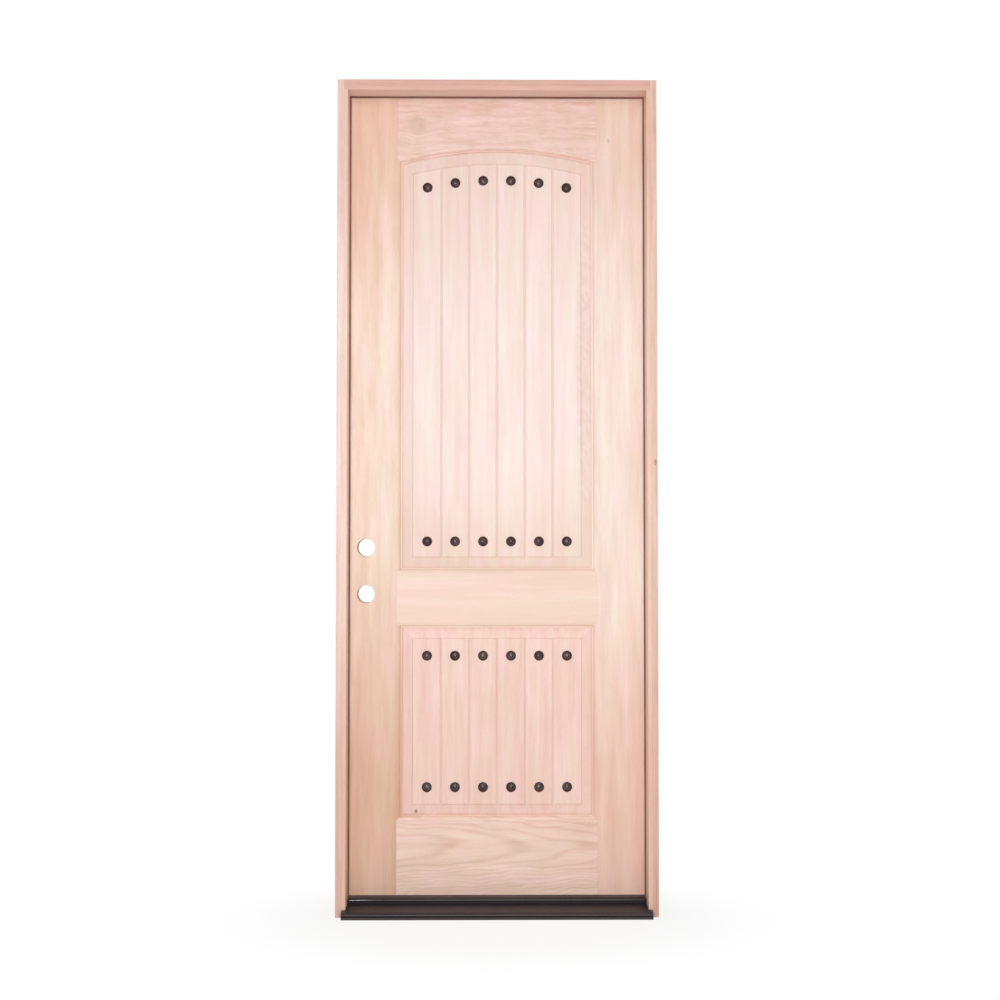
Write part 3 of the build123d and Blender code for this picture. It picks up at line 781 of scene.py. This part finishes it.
@dataclass(frozen=True)
class MetalFinish:
    """A dark metal with uneven tone.

    Args:
        name: The finish's name.
        colour: Colour of most of the metal.
        rubbed: Colour where it is rubbed or oxidised.
        roughness: How matt it is.
        metallic: How metallic its reflections are.
        grain: Size of the spots along X, Y and Z.
        relief: How strong the fine relief is.
        relief_depth: How deep it is.
        lit_edge: Colour that lightens the front edge as painted light, if any.
        front: Where that painted light on the edge starts.
        lit_edge_depth: How deep it goes.
        groove: Lowest and highest point of a groove in that edge, painted black as painted shade.
        groove_shade_depth: Depth at which the groove's painted shade is full.
        clouds: How often a cloud under the spots comes, as a share of the spots.
        tones: Tones between which the rubbed colour comes in.
        uneven: How much glossier and how much more matt the spots make it.
    """

    name: str
    colour: Colour
    rubbed: Colour
    roughness: float
    metallic: float
    grain: Place
    relief: float
    relief_depth: float = 0.0004
    lit_edge: Colour | None = None
    front: float = 0.0
    lit_edge_depth: float = 0.003
    groove: Span = (0.0, 0.0)
    groove_shade_depth: float = 0.001
    clouds: float = 0.13
    tones: Span = (0.40, 0.62)
    uneven: Span = (0.07, 0.09)

    def material(self) -> bpy.types.Material:
        """Builds the metal's material.

        Returns:
            The new material.
        """
        sheet = ShaderSheet(self.name)
        axes = sheet.axes()
        parts = [sheet.math("DIVIDE", part, size) for part, size in zip(axes, self.grain)]
        spots = sheet.noise(sheet.vector(*parts), 4.0, 0.6)
        broad_parts = [sheet.math("MULTIPLY", part, self.clouds) for part in parts]
        broad = sheet.noise(sheet.vector(*broad_parts), 2.0)
        rubbing = sheet.span(sheet.mean(broad, spots), *self.tones)
        colour = sheet.mix(rubbing, linear(self.colour), linear(self.rubbed))
        # Painted light on the front edge and painted shade in its groove
        if self.lit_edge:
            colour = self._paint_edge_light_and_groove_shade(sheet, axes[1], axes[2], colour)
        sheet.feed(sheet.shader.inputs["Base Color"], colour)
        glossier, duller = self.uneven
        matt = sheet.span(
            spots, *PATTERN_SPAN, self.roughness - glossier, self.roughness + duller)
        sheet.feed(sheet.shader.inputs["Roughness"], matt)
        sheet.feed(sheet.shader.inputs["Metallic"], self.metallic)
        sheet.relief(spots, self.relief, self.relief_depth)
        return sheet.material

    def _paint_edge_light_and_groove_shade(self, sheet: ShaderSheet, y: Socket, z: Socket, colour: Socket) -> Socket:
        """Paints light on the front edge and paints shade in its groove.

        Args:
            sheet: The material.
            y: Depth.
            z: Height.
            colour: The metal's colour so far.

        Returns:
            The colour with its painted light and shade.
        """
        # Painted light: the front edge is made lighter
        edge = sheet.span(y, self.front, self.front + self.lit_edge_depth, 1.0, 0.0)
        colour = sheet.mix(edge, colour, linear(self.lit_edge))
        # Painted shade: the groove is blackened
        low, high = self.groove
        level = sheet.math("ABSOLUTE", sheet.math("SUBTRACT", z, (low + high) / 2))
        inside = sheet.math("LESS_THAN", level, (high - low) / 2)
        behind = sheet.span(y, self.front, self.front + self.groove_shade_depth)
        return sheet.mix(sheet.math("MULTIPLY", inside, behind), colour, linear(GROOVE_SHADE))


@dataclass(frozen=True)
class SoftFinish:
    """Rubber, vinyl or foam with a faint dust.

    Args:
        name: The finish's name.
        colour: Colour of the clean surface.
        dusty: Colour where dust lies.
        roughness: How matt it is.
        grain: Size of its grain.
        drifts: How many drifts of dust lie on a metre.
        tones: Tones between which the dust comes in.
        uneven: How far the roughness strays.
        relief: How strong the fine relief is.
        relief_depth: How deep it is.
    """

    name: str
    colour: Colour
    dusty: Colour
    roughness: float
    grain: float
    drifts: float = 9.0
    tones: Span = (0.42, 0.64)
    uneven: float = 0.06
    relief: float = 0.2
    relief_depth: float = 0.0003

    def material(self) -> bpy.types.Material:
        """Builds the soft material.

        Returns:
            The new material.
        """
        sheet = ShaderSheet(self.name)
        axes = sheet.axes()
        fine_parts = [sheet.math("DIVIDE", part, self.grain) for part in axes]
        broad_parts = [sheet.math("MULTIPLY", part, self.drifts) for part in axes]
        fine = sheet.noise(sheet.vector(*fine_parts), 3.0)
        broad = sheet.noise(sheet.vector(*broad_parts), 3.0)
        dust = sheet.span(sheet.mean(fine, broad), *self.tones)
        colour = sheet.mix(dust, linear(self.colour), linear(self.dusty))
        sheet.feed(sheet.shader.inputs["Base Color"], colour)
        low, high = self.roughness - self.uneven, self.roughness + self.uneven
        sheet.feed(sheet.shader.inputs["Roughness"], sheet.span(fine, *PATTERN_SPAN, low, high))
        sheet.relief(fine, self.relief, self.relief_depth)
        return sheet.material


def dress(node: str, material: bpy.types.Material) -> None:
    """Gives a CAD node its finish.

    Args:
        node: The node's name.
        material: The finish.
    """
    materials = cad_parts[node].data.materials
    materials.clear()
    materials.append(material)
    log.info("dressed %s with %s", node, material.name)


@dataclass
class Jambs:
    """The three jambs with their stops, weatherstrip and the frame's screws.

    Args:
        boards: Finishes of the jambs and stops.
        strip: Finish of the weatherstrip.
        screws: Finish of the screws that hold the head and the sill.
    """

    # The foot and crown tints of these boards are painted shade towards their ends
    boards: tuple[WoodFinish, ...] = (
        WoodFinish(
            name="strike_jamb", pale=(248, 228, 219), deep=(229, 197, 186),
            axis=GrainAxis.UPRIGHT, seed=1.3, stripe=0.012,
            foot_shade=(238, 219, 211), crown_shade=(253, 247, 245)),
        WoodFinish(
            name="strike_stop", pale=(249, 223, 209), deep=(236, 203, 186),
            axis=GrainAxis.UPRIGHT, seed=6.6, stripe=0.010,
            foot_shade=(242, 228, 222), crown_shade=(253, 240, 242)),
        WoodFinish(
            name="hinge_jamb", pale=(247, 213, 200), deep=(217, 173, 157),
            axis=GrainAxis.UPRIGHT, seed=2.9, stripe=0.012, lines=0.8,
            knots=(Knot(x=0.4700, z=1.339, size=0.005, dark=0.5),), foot_shade=(240, 231, 227)),
        WoodFinish(
            name="hinge_stop", pale=(242, 215, 200), deep=(226, 194, 177),
            axis=GrainAxis.UPRIGHT, seed=8.4, stripe=0.010,
            foot_shade=(248, 242, 240), crown_shade=(252, 238, 232)),
        WoodFinish(
            name="head_jamb", pale=(234, 191, 176), deep=(211, 164, 149),
            axis=GrainAxis.LEVEL, seed=4.1, stripe=0.012, ends=HEAD_SHOULDER),
        # The front tint of the head stop is painted shade on its face towards outdoors
        WoodFinish(
            name="head_stop", pale=(238, 211, 199), deep=(220, 189, 174),
            axis=GrainAxis.LEVEL, seed=10.2, stripe=0.010, front=(254, 235, 230)),
    )
    strip: SoftFinish = SoftFinish(
        name="brown_foam", colour=(118, 76, 64), dusty=(140, 96, 82), roughness=0.75, grain=0.0012)
    screws: MetalFinish = MetalFinish(
        name="plated_steel", colour=(150, 145, 138), rubbed=(120, 112, 104),
        roughness=0.38, metallic=1.0, grain=(0.002, 0.002, 0.002), relief=0.1)

    def dress(self) -> None:
        """Finishes the jambs, their stops and strips, and the screws of the frame."""
        for finish in self.boards:
            dress(finish.name, finish.material())
        foam = self.strip.material()
        for side in ("strike", "hinge", "head"):
            dress(f"{side}_weatherstrip", foam)
        steel = self.screws.material()
        for node in ("head_screws", "sill_screws"):
            dress(node, steel)


@dataclass
class Sill:
    """The bronze deck, the cap under the door and the base under both.

    Args:
        deck: Finish of the deck with its grooved nose.
        cap: Finish of the cap.
        base: Finish of the base.
    """

    # The deck's front edge is painted lighter as painted light, and its groove black as painted
    # shade
    deck: MetalFinish = MetalFinish(
        name="bronze_deck", colour=(33, 26, 31), rubbed=(45, 36, 43),
        roughness=0.34, metallic=0.30, grain=(0.09, 0.0012, 0.0012), relief=0.10,
        lit_edge=(64, 53, 55), front=-0.0268, groove=(0.0070, 0.0121))
    cap: MetalFinish = MetalFinish(
        name="bronze_cap", colour=(36, 20, 25), rubbed=(48, 30, 35),
        roughness=0.10, metallic=0.0, grain=(0.06, 0.002, 0.002), relief=0.04)
    base: SoftFinish = SoftFinish(
        name="composite_base", colour=(150, 138, 124), dusty=(172, 160, 146),
        roughness=0.8, grain=0.0008)

    def dress(self) -> None:
        """Finishes the three pieces of the sill."""
        dress("sill_deck", self.deck.material())
        dress("sill_cap", self.cap.material())
        dress("sill_substrate", self.base.material())


@dataclass
class SlabFrame:
    """The stiles and rails of the slab, with their dowels and the sweep.

    Args:
        boards: Finishes of the stiles and rails.
        dowel: Finish of the dowels.
        sweep: Finish of the sweep.
    """

    # The foot and crown tints of the stiles are painted shade towards their ends
    boards: tuple[WoodFinish, ...] = (
        WoodFinish(
            name="lock_stile", pale=(249, 232, 220), deep=(234, 204, 184),
            axis=GrainAxis.UPRIGHT, seed=5.7, stripe=0.034, wander=0.020, ripple=2.5, lines=0.30,
            foot_shade=(237, 218, 205), crown_shade=(250, 234, 226), bores=LOCK_BORES),
        WoodFinish(
            name="hinge_stile", pale=(251, 240, 232), deep=(239, 214, 202),
            axis=GrainAxis.UPRIGHT, seed=7.2, stripe=0.036, wander=0.020, ripple=2.5, lines=0.30,
            knots=(Knot(x=0.338, z=2.321, size=0.004, dark=0.25),),
            foot_shade=(247, 227, 217), crown_shade=(251, 239, 232)),
        WoodFinish(
            name="top_rail", pale=(248, 221, 211), deep=(226, 187, 173),
            axis=GrainAxis.LEVEL, seed=9.4, stripe=0.014, wander=0.016, reach=0.16, ripple=9.0,
            lines=0.9, ends=RAIL_SHOULDER,
            knots=(
                Knot(x=-0.240, z=2.366, size=0.031, dark=0.10, stretch=1.0),
                Knot(x=-0.285, z=2.315, size=0.020, dark=0.06, stretch=1.4))),
        WoodFinish(
            name="lock_rail", pale=(246, 224, 210), deep=(237, 208, 191),
            axis=GrainAxis.LEVEL, seed=11.8, stripe=0.040, wander=0.014, reach=0.7, lines=0.15,
            ends=RAIL_SHOULDER),
        WoodFinish(
            name="bottom_rail", pale=(251, 226, 213), deep=(226, 186, 168),
            axis=GrainAxis.LEVEL, seed=13.1, stripe=0.026, wander=0.022, reach=0.30, ripple=4.0,
            lines=0.6, ends=RAIL_SHOULDER,
            knots=(Knot(x=0.276, z=0.260, size=0.004, dark=0.2, stretch=0.7),),
            cathedral=Cathedral(x=0.204, z=0.193, spacing=0.20, sharpness=95.0, show=0.36)),
    )
    dowel: WoodFinish = WoodFinish(
        name="dowel", pale=(226, 190, 148), deep=(204, 164, 120),
        axis=GrainAxis.LEVEL, seed=3.3, stripe=0.01)
    sweep: SoftFinish = SoftFinish(
        name="brown_vinyl", colour=(82, 58, 58), dusty=(102, 78, 78), roughness=0.34, grain=0.003)

    def dress(self) -> None:
        """Finishes the boards, the dowels and the sweep."""
        for finish in self.boards:
            dress(finish.name, finish.material())
        dress("rail_dowels", self.dowel.material())
        dress("door_sweep", self.sweep.material())


@dataclass
class PlankPanel:
    """One raised panel of planks.

    Args:
        level: Which panel it is.
        pale: Colour of the palest grain.
        deep: Colour of the deepest grain.
        tones: How much lighter or darker each plank is, in screen steps.
        lines: How strongly fine lines show, from 0 to 1.
        seed: Moves the planks' patterns.
        seed_step: How much further each next plank's pattern is moved.
        knots: Spots that the grain flows round, by plank number.
        curls: Bars across the grain, by plank number.
        foot_shade: Tint that darkens the planks towards their lower end as painted shade, if any.
        foot_shade_reach: How far up that painted shade reaches.
        crown_shade: Tint that darkens them towards their upper end as painted shade, if any.
    """

    level: PanelLevel
    pale: Colour
    deep: Colour
    tones: tuple[int, ...]
    lines: float
    seed: float
    seed_step: float = 2.37
    knots: dict[int, tuple[Knot, ...]] = field(default_factory=dict)
    curls: dict[int, Curl] = field(default_factory=dict)
    foot_shade: Colour | None = None
    foot_shade_reach: float = 0.35
    crown_shade: Colour | None = None

    def dress(self) -> None:
        """Finishes each plank from its own board."""
        third, fourth = (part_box(f"{self.level.value}_plank_{number}") for number in (3, 4))
        middle = (third[0].y + third[1].y) / 2
        bed = PlankBed(middle, middle - third[0].y, fourth[0].x - third[0].x)
        for number, tone in enumerate(self.tones, start=1):
            node = f"{self.level.value}_plank_{number}"
            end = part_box(node)[0].z
            finish = WoodFinish(
                name=node, pale=self._shift(self.pale, tone), deep=self._shift(self.deep, tone),
                axis=GrainAxis.UPRIGHT, seed=self.seed + self.seed_step * number,
                stripe=0.024, wander=0.018, ripple=2.2, lines=self.lines,
                knots=self.knots.get(number, ()), curl=self.curls.get(number),
                foot_shade=self.foot_shade, foot_shade_span=(end, end + self.foot_shade_reach), crown_shade=self.crown_shade, bed=bed)
            dress(node, finish.material())

    @staticmethod
    def _shift(colour: Colour, tone: int) -> Colour:
        """Lightens or darkens a colour, its red least.

        Args:
            colour: The colour to shift.
            tone: Screen steps up or down.

        Returns:
            The shifted colour.
        """
        red, green, blue = colour
        return (min(255, red + tone // 2), min(255, green + tone), min(255, blue + tone))


@dataclass
class NailRow:
    """A row of hammered round nail heads that stands for the smooth ones.

    Args:
        node: The row of nails to replace.
        carrier: A plank whose face carries the heads.
        seed: Makes the row's hammer marks its own.
        count: How many nails the row has.
        rim: Height of the upright rim under the dome.
        marks: How many hammer marks a head has.
        mark_depth: Least and greatest depth of a mark.
        lean: How far from the dome's tip the marks go, in degrees.
        spokes: How many edges go round the dome.
        rings: How many go over it.
        merge: Distance within which a cut takes up a vertex.
    """

    node: str
    carrier: str
    seed: int
    count: int = 6
    rim: float = 0.0012
    marks: int = 10
    mark_depth: Span = (0.00010, 0.00026)
    lean: float = 36.0
    spokes: int = 40
    rings: int = 36
    merge: float = 1e-7

    def build(self, iron: bpy.types.Material) -> bpy.types.Object:
        """Builds the heads where the CAD row has them.

        Args:
            iron: The heads' finish.

        Returns:
            The row as one object.
        """
        rng = random.Random(self.seed)
        row = bmesh.new()
        for centre, radius, height in self._places():
            head = self._head(centre, radius, height, rng)
            shape = bpy.data.meshes.new("nail_shape")
            head.to_mesh(shape)
            head.free()
            row.from_mesh(shape)
            bpy.data.meshes.remove(shape)
        mesh = bpy.data.meshes.new(f"{self.node}_hammered")
        row.to_mesh(mesh)
        row.free()
        mesh.materials.append(iron)
        piece = bpy.data.objects.new(mesh.name, mesh)
        bpy.context.scene.collection.objects.link(piece)
        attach(piece, "door")
        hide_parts(self.node)
        log.info("hammered %s", self.node)
        return piece

    def _places(self) -> list[tuple[Vector, float, float]]:
        """Reads each nail's place, radius and height from the CAD row.

        Returns:
            The centre of each head on the panel's face, its radius and its height.
        """
        low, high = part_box(self.node)
        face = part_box(self.carrier)[0].y
        points = [v.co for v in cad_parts[self.node].data.vertices]
        cell = (high.x - low.x) / self.count
        places = []
        for index in range(self.count):
            left = low.x + index * cell
            mine = [p for p in points if left <= p.x <= left + cell]
            xs = [p.x for p in mine]
            zs = [p.z for p in mine]
            radius = (max(zs) - min(zs)) / 2
            centre = Vector(((max(xs) + min(xs)) / 2, face, (max(zs) + min(zs)) / 2))
            places.append((centre, radius, face - low.y))
        return places

    def _head(
        self, centre: Vector, radius: float, height: float, rng: random.Random
    ) -> bmesh.types.BMesh:
        """Forges one domed head with flat hammer marks.

        Args:
            centre: Middle of the head on the panel's face.
            radius: Radius of the rim.
            height: Height of the dome's tip above the face.
            rng: Source of the hammer marks.

        Returns:
            The head's mesh.
        """
        dome = height - self.rim
        ball = (radius ** 2 + dome ** 2) / (2 * dome)
        middle = centre + Vector((0, ball - height, 0))
        head = bmesh.new()
        bmesh.ops.create_uvsphere(
            head, u_segments=self.spokes, v_segments=self.rings, radius=ball,
            matrix=Matrix.Translation(middle) @ Matrix.Rotation(math.radians(90), 4, "X"))
        bmesh.ops.bisect_plane(
            head, geom=head.verts[:] + head.edges[:] + head.faces[:], dist=self.merge,
            plane_co=centre - Vector((0, self.rim, 0)), plane_no=(0, 1, 0), clear_outer=True)
        for _ in range(self.marks):
            self._mark(head, middle, ball, rng)
        edge = [e for e in head.edges if e.is_boundary]
        skirt = bmesh.ops.extrude_edge_only(head, edges=edge)["geom"]
        bmesh.ops.translate(
            head, vec=(0, self.rim, 0),
            verts=[g for g in skirt if isinstance(g, bmesh.types.BMVert)])
        bmesh.ops.holes_fill(head, edges=[e for e in head.edges if e.is_boundary])
        bmesh.ops.recalc_face_normals(head, faces=head.faces[:])
        for face in head.faces:
            face.smooth = len(face.verts) <= 4
        return head

    def _mark(
        self, head: bmesh.types.BMesh, middle: Vector, ball: float, rng: random.Random
    ) -> None:
        """Flattens one small facet of the dome.

        Args:
            head: The head's mesh.
            middle: Centre of the dome's ball.
            ball: Radius of the ball.
            rng: Source of the facet's place and depth.
        """
        lean = math.radians(self.lean) * math.sqrt(rng.random())
        turn = rng.uniform(0, math.tau)
        out = math.sin(lean)
        way = Vector((out * math.cos(turn), -math.cos(lean), out * math.sin(turn)))
        depth = rng.uniform(*self.mark_depth)
        cut = bmesh.ops.bisect_plane(
            head, geom=head.verts[:] + head.edges[:] + head.faces[:], dist=self.merge,
            plane_co=middle + way * (ball - depth), plane_no=way, clear_outer=True)
        loop = [g for g in cut["geom_cut"] if isinstance(g, bmesh.types.BMEdge)]
        bmesh.ops.edgeloop_fill(head, edges=loop)


@dataclass
class NailWork:
    """All the nail heads of the two panels.

    Args:
        iron: Finish of the heads.
        first_seed: Seed of the first row's hammer marks.
    """

    iron: MetalFinish = MetalFinish(
        name="hammered_iron", colour=(60, 48, 47), rubbed=(92, 78, 75),
        roughness=0.21, metallic=0.9, grain=(0.004, 0.004, 0.004), relief=0.16)
    first_seed: int = 40

    def build(self) -> None:
        """Hammers the top and bottom row of each panel."""
        iron = self.iron.material()
        seed = self.first_seed
        for level in PanelLevel:
            for end in ("top", "bottom"):
                row = NailRow(
                    f"{level.value}_panel_{end}_nails", f"{level.value}_plank_3", seed)
                row.build(iron)
                seed += 1


@dataclass
class Hinges:
    """The butt hinges with their pins and screws.

    Args:
        count: How many hinges there are.
        bronze: Finish of the leaves and pins.
        screws: Finish of the screws.
    """

    count: int = 4
    bronze: MetalFinish = MetalFinish(
        name="oiled_bronze", colour=(62, 46, 36), rubbed=(96, 70, 50),
        roughness=0.36, metallic=1.0, grain=(0.006, 0.006, 0.006), relief=0.15)
    screws: MetalFinish = MetalFinish(
        name="bronze_screws", colour=(84, 64, 48), rubbed=(112, 86, 62),
        roughness=0.34, metallic=1.0, grain=(0.002, 0.002, 0.002), relief=0.1)

    def dress(self) -> None:
        """Finishes every leaf, pin and screw."""
        bronze = self.bronze.material()
        for number in range(1, self.count + 1):
            for piece in ("jamb_leaf", "door_leaf", "pin"):
                dress(f"hinge_{number}_{piece}", bronze)
        screws = self.screws.material()
        for node in ("hinge_jamb_screws", "hinge_door_screws"):
            dress(node, screws)


@dataclass(frozen=True)
class Lamp:
    """A broad soft lamp.

    Args:
        name: The lamp's name.
        place: Where it hangs.
        size: Its width.
        power: Its power in watts.
        tall: Its height, if not the same.
    """

    name: str
    place: Place
    size: float
    power: float
    tall: float | None = None

    def hang(self, aim: Place) -> None:
        """Hangs the lamp and turns it to the door.

        Args:
            aim: What the lamp looks at.
        """
        data = bpy.data.lights.new(self.name, "AREA")
        data.shape = "RECTANGLE"
        data.size = self.size
        data.size_y = self.tall or self.size
        data.energy = self.power
        lamp = bpy.data.objects.new(self.name, data)
        lamp.location = self.place
        way = Vector(aim) - Vector(self.place)
        lamp.rotation_euler = way.to_track_quat("-Z", "Y").to_euler()
        bpy.context.scene.collection.objects.link(lamp)


@dataclass
class StudioStage:
    """A white studio: floor, surroundings, lamps and camera.

    Args:
        eye: Where the camera stands.
        pitch: How far it looks up, in degrees.
        yaw: How far it looks to the right, in degrees.
        lens: Its focal length in millimetres.
        sensor: Width of its picture in millimetres.
        lamps: The soft lamps in front of the door.
        aim: What the lamps look at.
        fill: Strength of the light from all round.
        floor_half: Half width of the floor.
        floor_drop: How far the floor lies under the sill.
        floor_shade: How pale the floor is, from 0 to 1.
        floor_fade: Distances from the door over which the floor turns white.
        floor_white: How white it is near the door, from 0 to 1.
        floor_stretch: How much faster it turns white to the front than to the side.
    """

    eye: Place = (-0.0248, -4.05, 1.1111)
    pitch: float = 1.633
    yaw: float = 0.470
    lens: float = 49.245
    sensor: float = 36.0
    lamps: tuple[Lamp, ...] = (
        Lamp(name="key", place=(0.10, -3.10, 1.65), size=1.3, power=18.2),
        Lamp(name="top", place=(0.0, -2.60, 2.75), size=1.6, power=6.0),
        Lamp(name="low", place=(0.10, -2.30, 0.30), size=1.2, power=7.0),
        Lamp(name="strip", place=(-0.73, -3.00, 1.70), size=0.075, power=13.0, tall=1.6),
    )
    aim: Place = (0.0, 0.0, 1.30)
    fill: float = 0.58
    floor_half: float = 14.0
    floor_drop: float = 0.0003
    floor_shade: float = 0.9
    floor_fade: Span = (0.42, 0.9)
    floor_white: float = 0.82
    floor_stretch: float = 1.6

    def build(self) -> None:
        """Sets up the whole studio."""
        bpy.context.scene.view_settings.view_transform = "Standard"
        self._camera()
        self._surroundings()
        for lamp in self.lamps:
            lamp.hang(self.aim)
        self._floor()
        log.info("studio is set")

    def _camera(self) -> None:
        """Stands the camera where the photograph was taken."""
        data = bpy.data.cameras.new("camera")
        data.lens = self.lens
        data.sensor_width = self.sensor
        camera = bpy.data.objects.new("camera", data)
        camera.location = self.eye
        camera.rotation_euler = (math.radians(90 + self.pitch), 0, math.radians(-self.yaw))
        bpy.context.scene.collection.objects.link(camera)
        bpy.context.scene.camera = camera

    @staticmethod
    def _seen(tree: bpy.types.NodeTree) -> Socket:
        """Tells whether a ray looks straight, by reflection or through glass.

        Args:
            tree: The node tree that asks.

        Returns:
            One for such a ray, zero for light on the object.
        """
        path = tree.nodes.new("ShaderNodeLightPath")
        seen = path.outputs["Is Camera Ray"]
        for name in ("Is Glossy Ray", "Is Transmission Ray"):
            either = tree.nodes.new("ShaderNodeMath")
            either.operation = "MAXIMUM"
            tree.links.new(seen, either.inputs[0])
            tree.links.new(path.outputs[name], either.inputs[1])
            seen = either.outputs[0]
        return seen

    def _surroundings(self) -> None:
        """Makes the surroundings white to look at and a soft fill light otherwise."""
        world = bpy.data.worlds.new("studio")
        world.use_nodes = True
        tree = world.node_tree
        glow = tree.nodes["Background"]
        glow.inputs["Color"].default_value = (1, 1, 1, 1)
        level = tree.nodes.new("ShaderNodeMapRange")
        tree.links.new(self._seen(tree), level.inputs["Value"])
        level.inputs["To Min"].default_value = self.fill
        level.inputs["To Max"].default_value = 1.0
        tree.links.new(level.outputs[0], glow.inputs["Strength"])
        bpy.context.scene.world = world

    def _floor(self) -> None:
        """Lays the pale floor, which takes a soft shadow near the door and fades to white."""
        shape = bmesh.new()
        bmesh.ops.create_grid(
            shape, x_segments=1, y_segments=1, size=self.floor_half,
            matrix=Matrix.Translation((0, 0, cad_box[0].z - self.floor_drop)))
        mesh = bpy.data.meshes.new("floor")
        shape.to_mesh(mesh)
        shape.free()
        mesh.materials.append(self._floor_material())
        floor = bpy.data.objects.new("floor", mesh)
        bpy.context.scene.collection.objects.link(floor)

    def _floor_material(self) -> bpy.types.Material:
        """Makes the floor's finish.

        Returns:
            A pale matt floor that is white away from the door.
        """
        sheet = ShaderSheet("pale_floor")
        sheet.tree.nodes.remove(sheet.shader)
        x, y, _ = sheet.axes()
        deep = sheet.math("MULTIPLY", y, self.floor_stretch)
        reach = sheet.math("SQRT", sheet.squares(x, deep))
        white = sheet.span(reach, *self.floor_fade, self.floor_white, 1.0)
        shown = sheet.math("MULTIPLY", white, self._seen(sheet.tree))
        matt = sheet.add("ShaderNodeBsdfDiffuse")
        sheet.feed(matt.inputs["Color"], (*[self.floor_shade] * 3, 1.0))
        glow = sheet.add("ShaderNodeEmission")
        blend = sheet.add("ShaderNodeMixShader")
        sheet.feed(blend.inputs[0], shown)
        sheet.feed(blend.inputs[1], matt.outputs[0])
        sheet.feed(blend.inputs[2], glow.outputs[0])
        sheet.feed(sheet.tree.nodes["Material Output"].inputs["Surface"], blend.outputs[0])
        return sheet.material


def panels() -> tuple[PlankPanel, PlankPanel]:
    """Gives the two panels with their own woods.

    Returns:
        The upper panel, which is pale and plain, and the lower, which is redder and lined.
    """
    # The upper panel's foot and crown tints are painted shade towards its ends
    upper = PlankPanel(
        level=PanelLevel.UPPER, pale=(248, 232, 227), deep=(241, 217, 210),
        tones=(-1, -1, 0, 3, 2, 2), lines=0.15, seed=17.0,
        curls={6: Curl(
            x=0.268, z=1.65, half_width=0.03, half_height=0.55, pitch=0.022, show=0.12)},
        foot_shade=(249, 241, 233), crown_shade=(253, 244, 239))
    lower = PlankPanel(
        level=PanelLevel.LOWER, pale=(248, 222, 212), deep=(237, 198, 186),
        tones=(-3, -1, -3, -3, 0, 0), lines=0.65, seed=48.0,
        knots={1: (Knot(x=-0.243, z=0.294, size=0.0060, dark=0.65, stretch=1.2),)})
    return upper, lower


def main() -> None:
    """Dresses every sub-assembly and sets the studio."""
    logging.basicConfig(level=logging.INFO, format="%(name)s: %(message)s")
    Jambs().dress()
    Sill().dress()
    SlabFrame().dress()
    for panel in panels():
        panel.dress()
    NailWork().build()
    Hinges().dress()
    StudioStage().build()


if __name__ == "__main__":
    main()
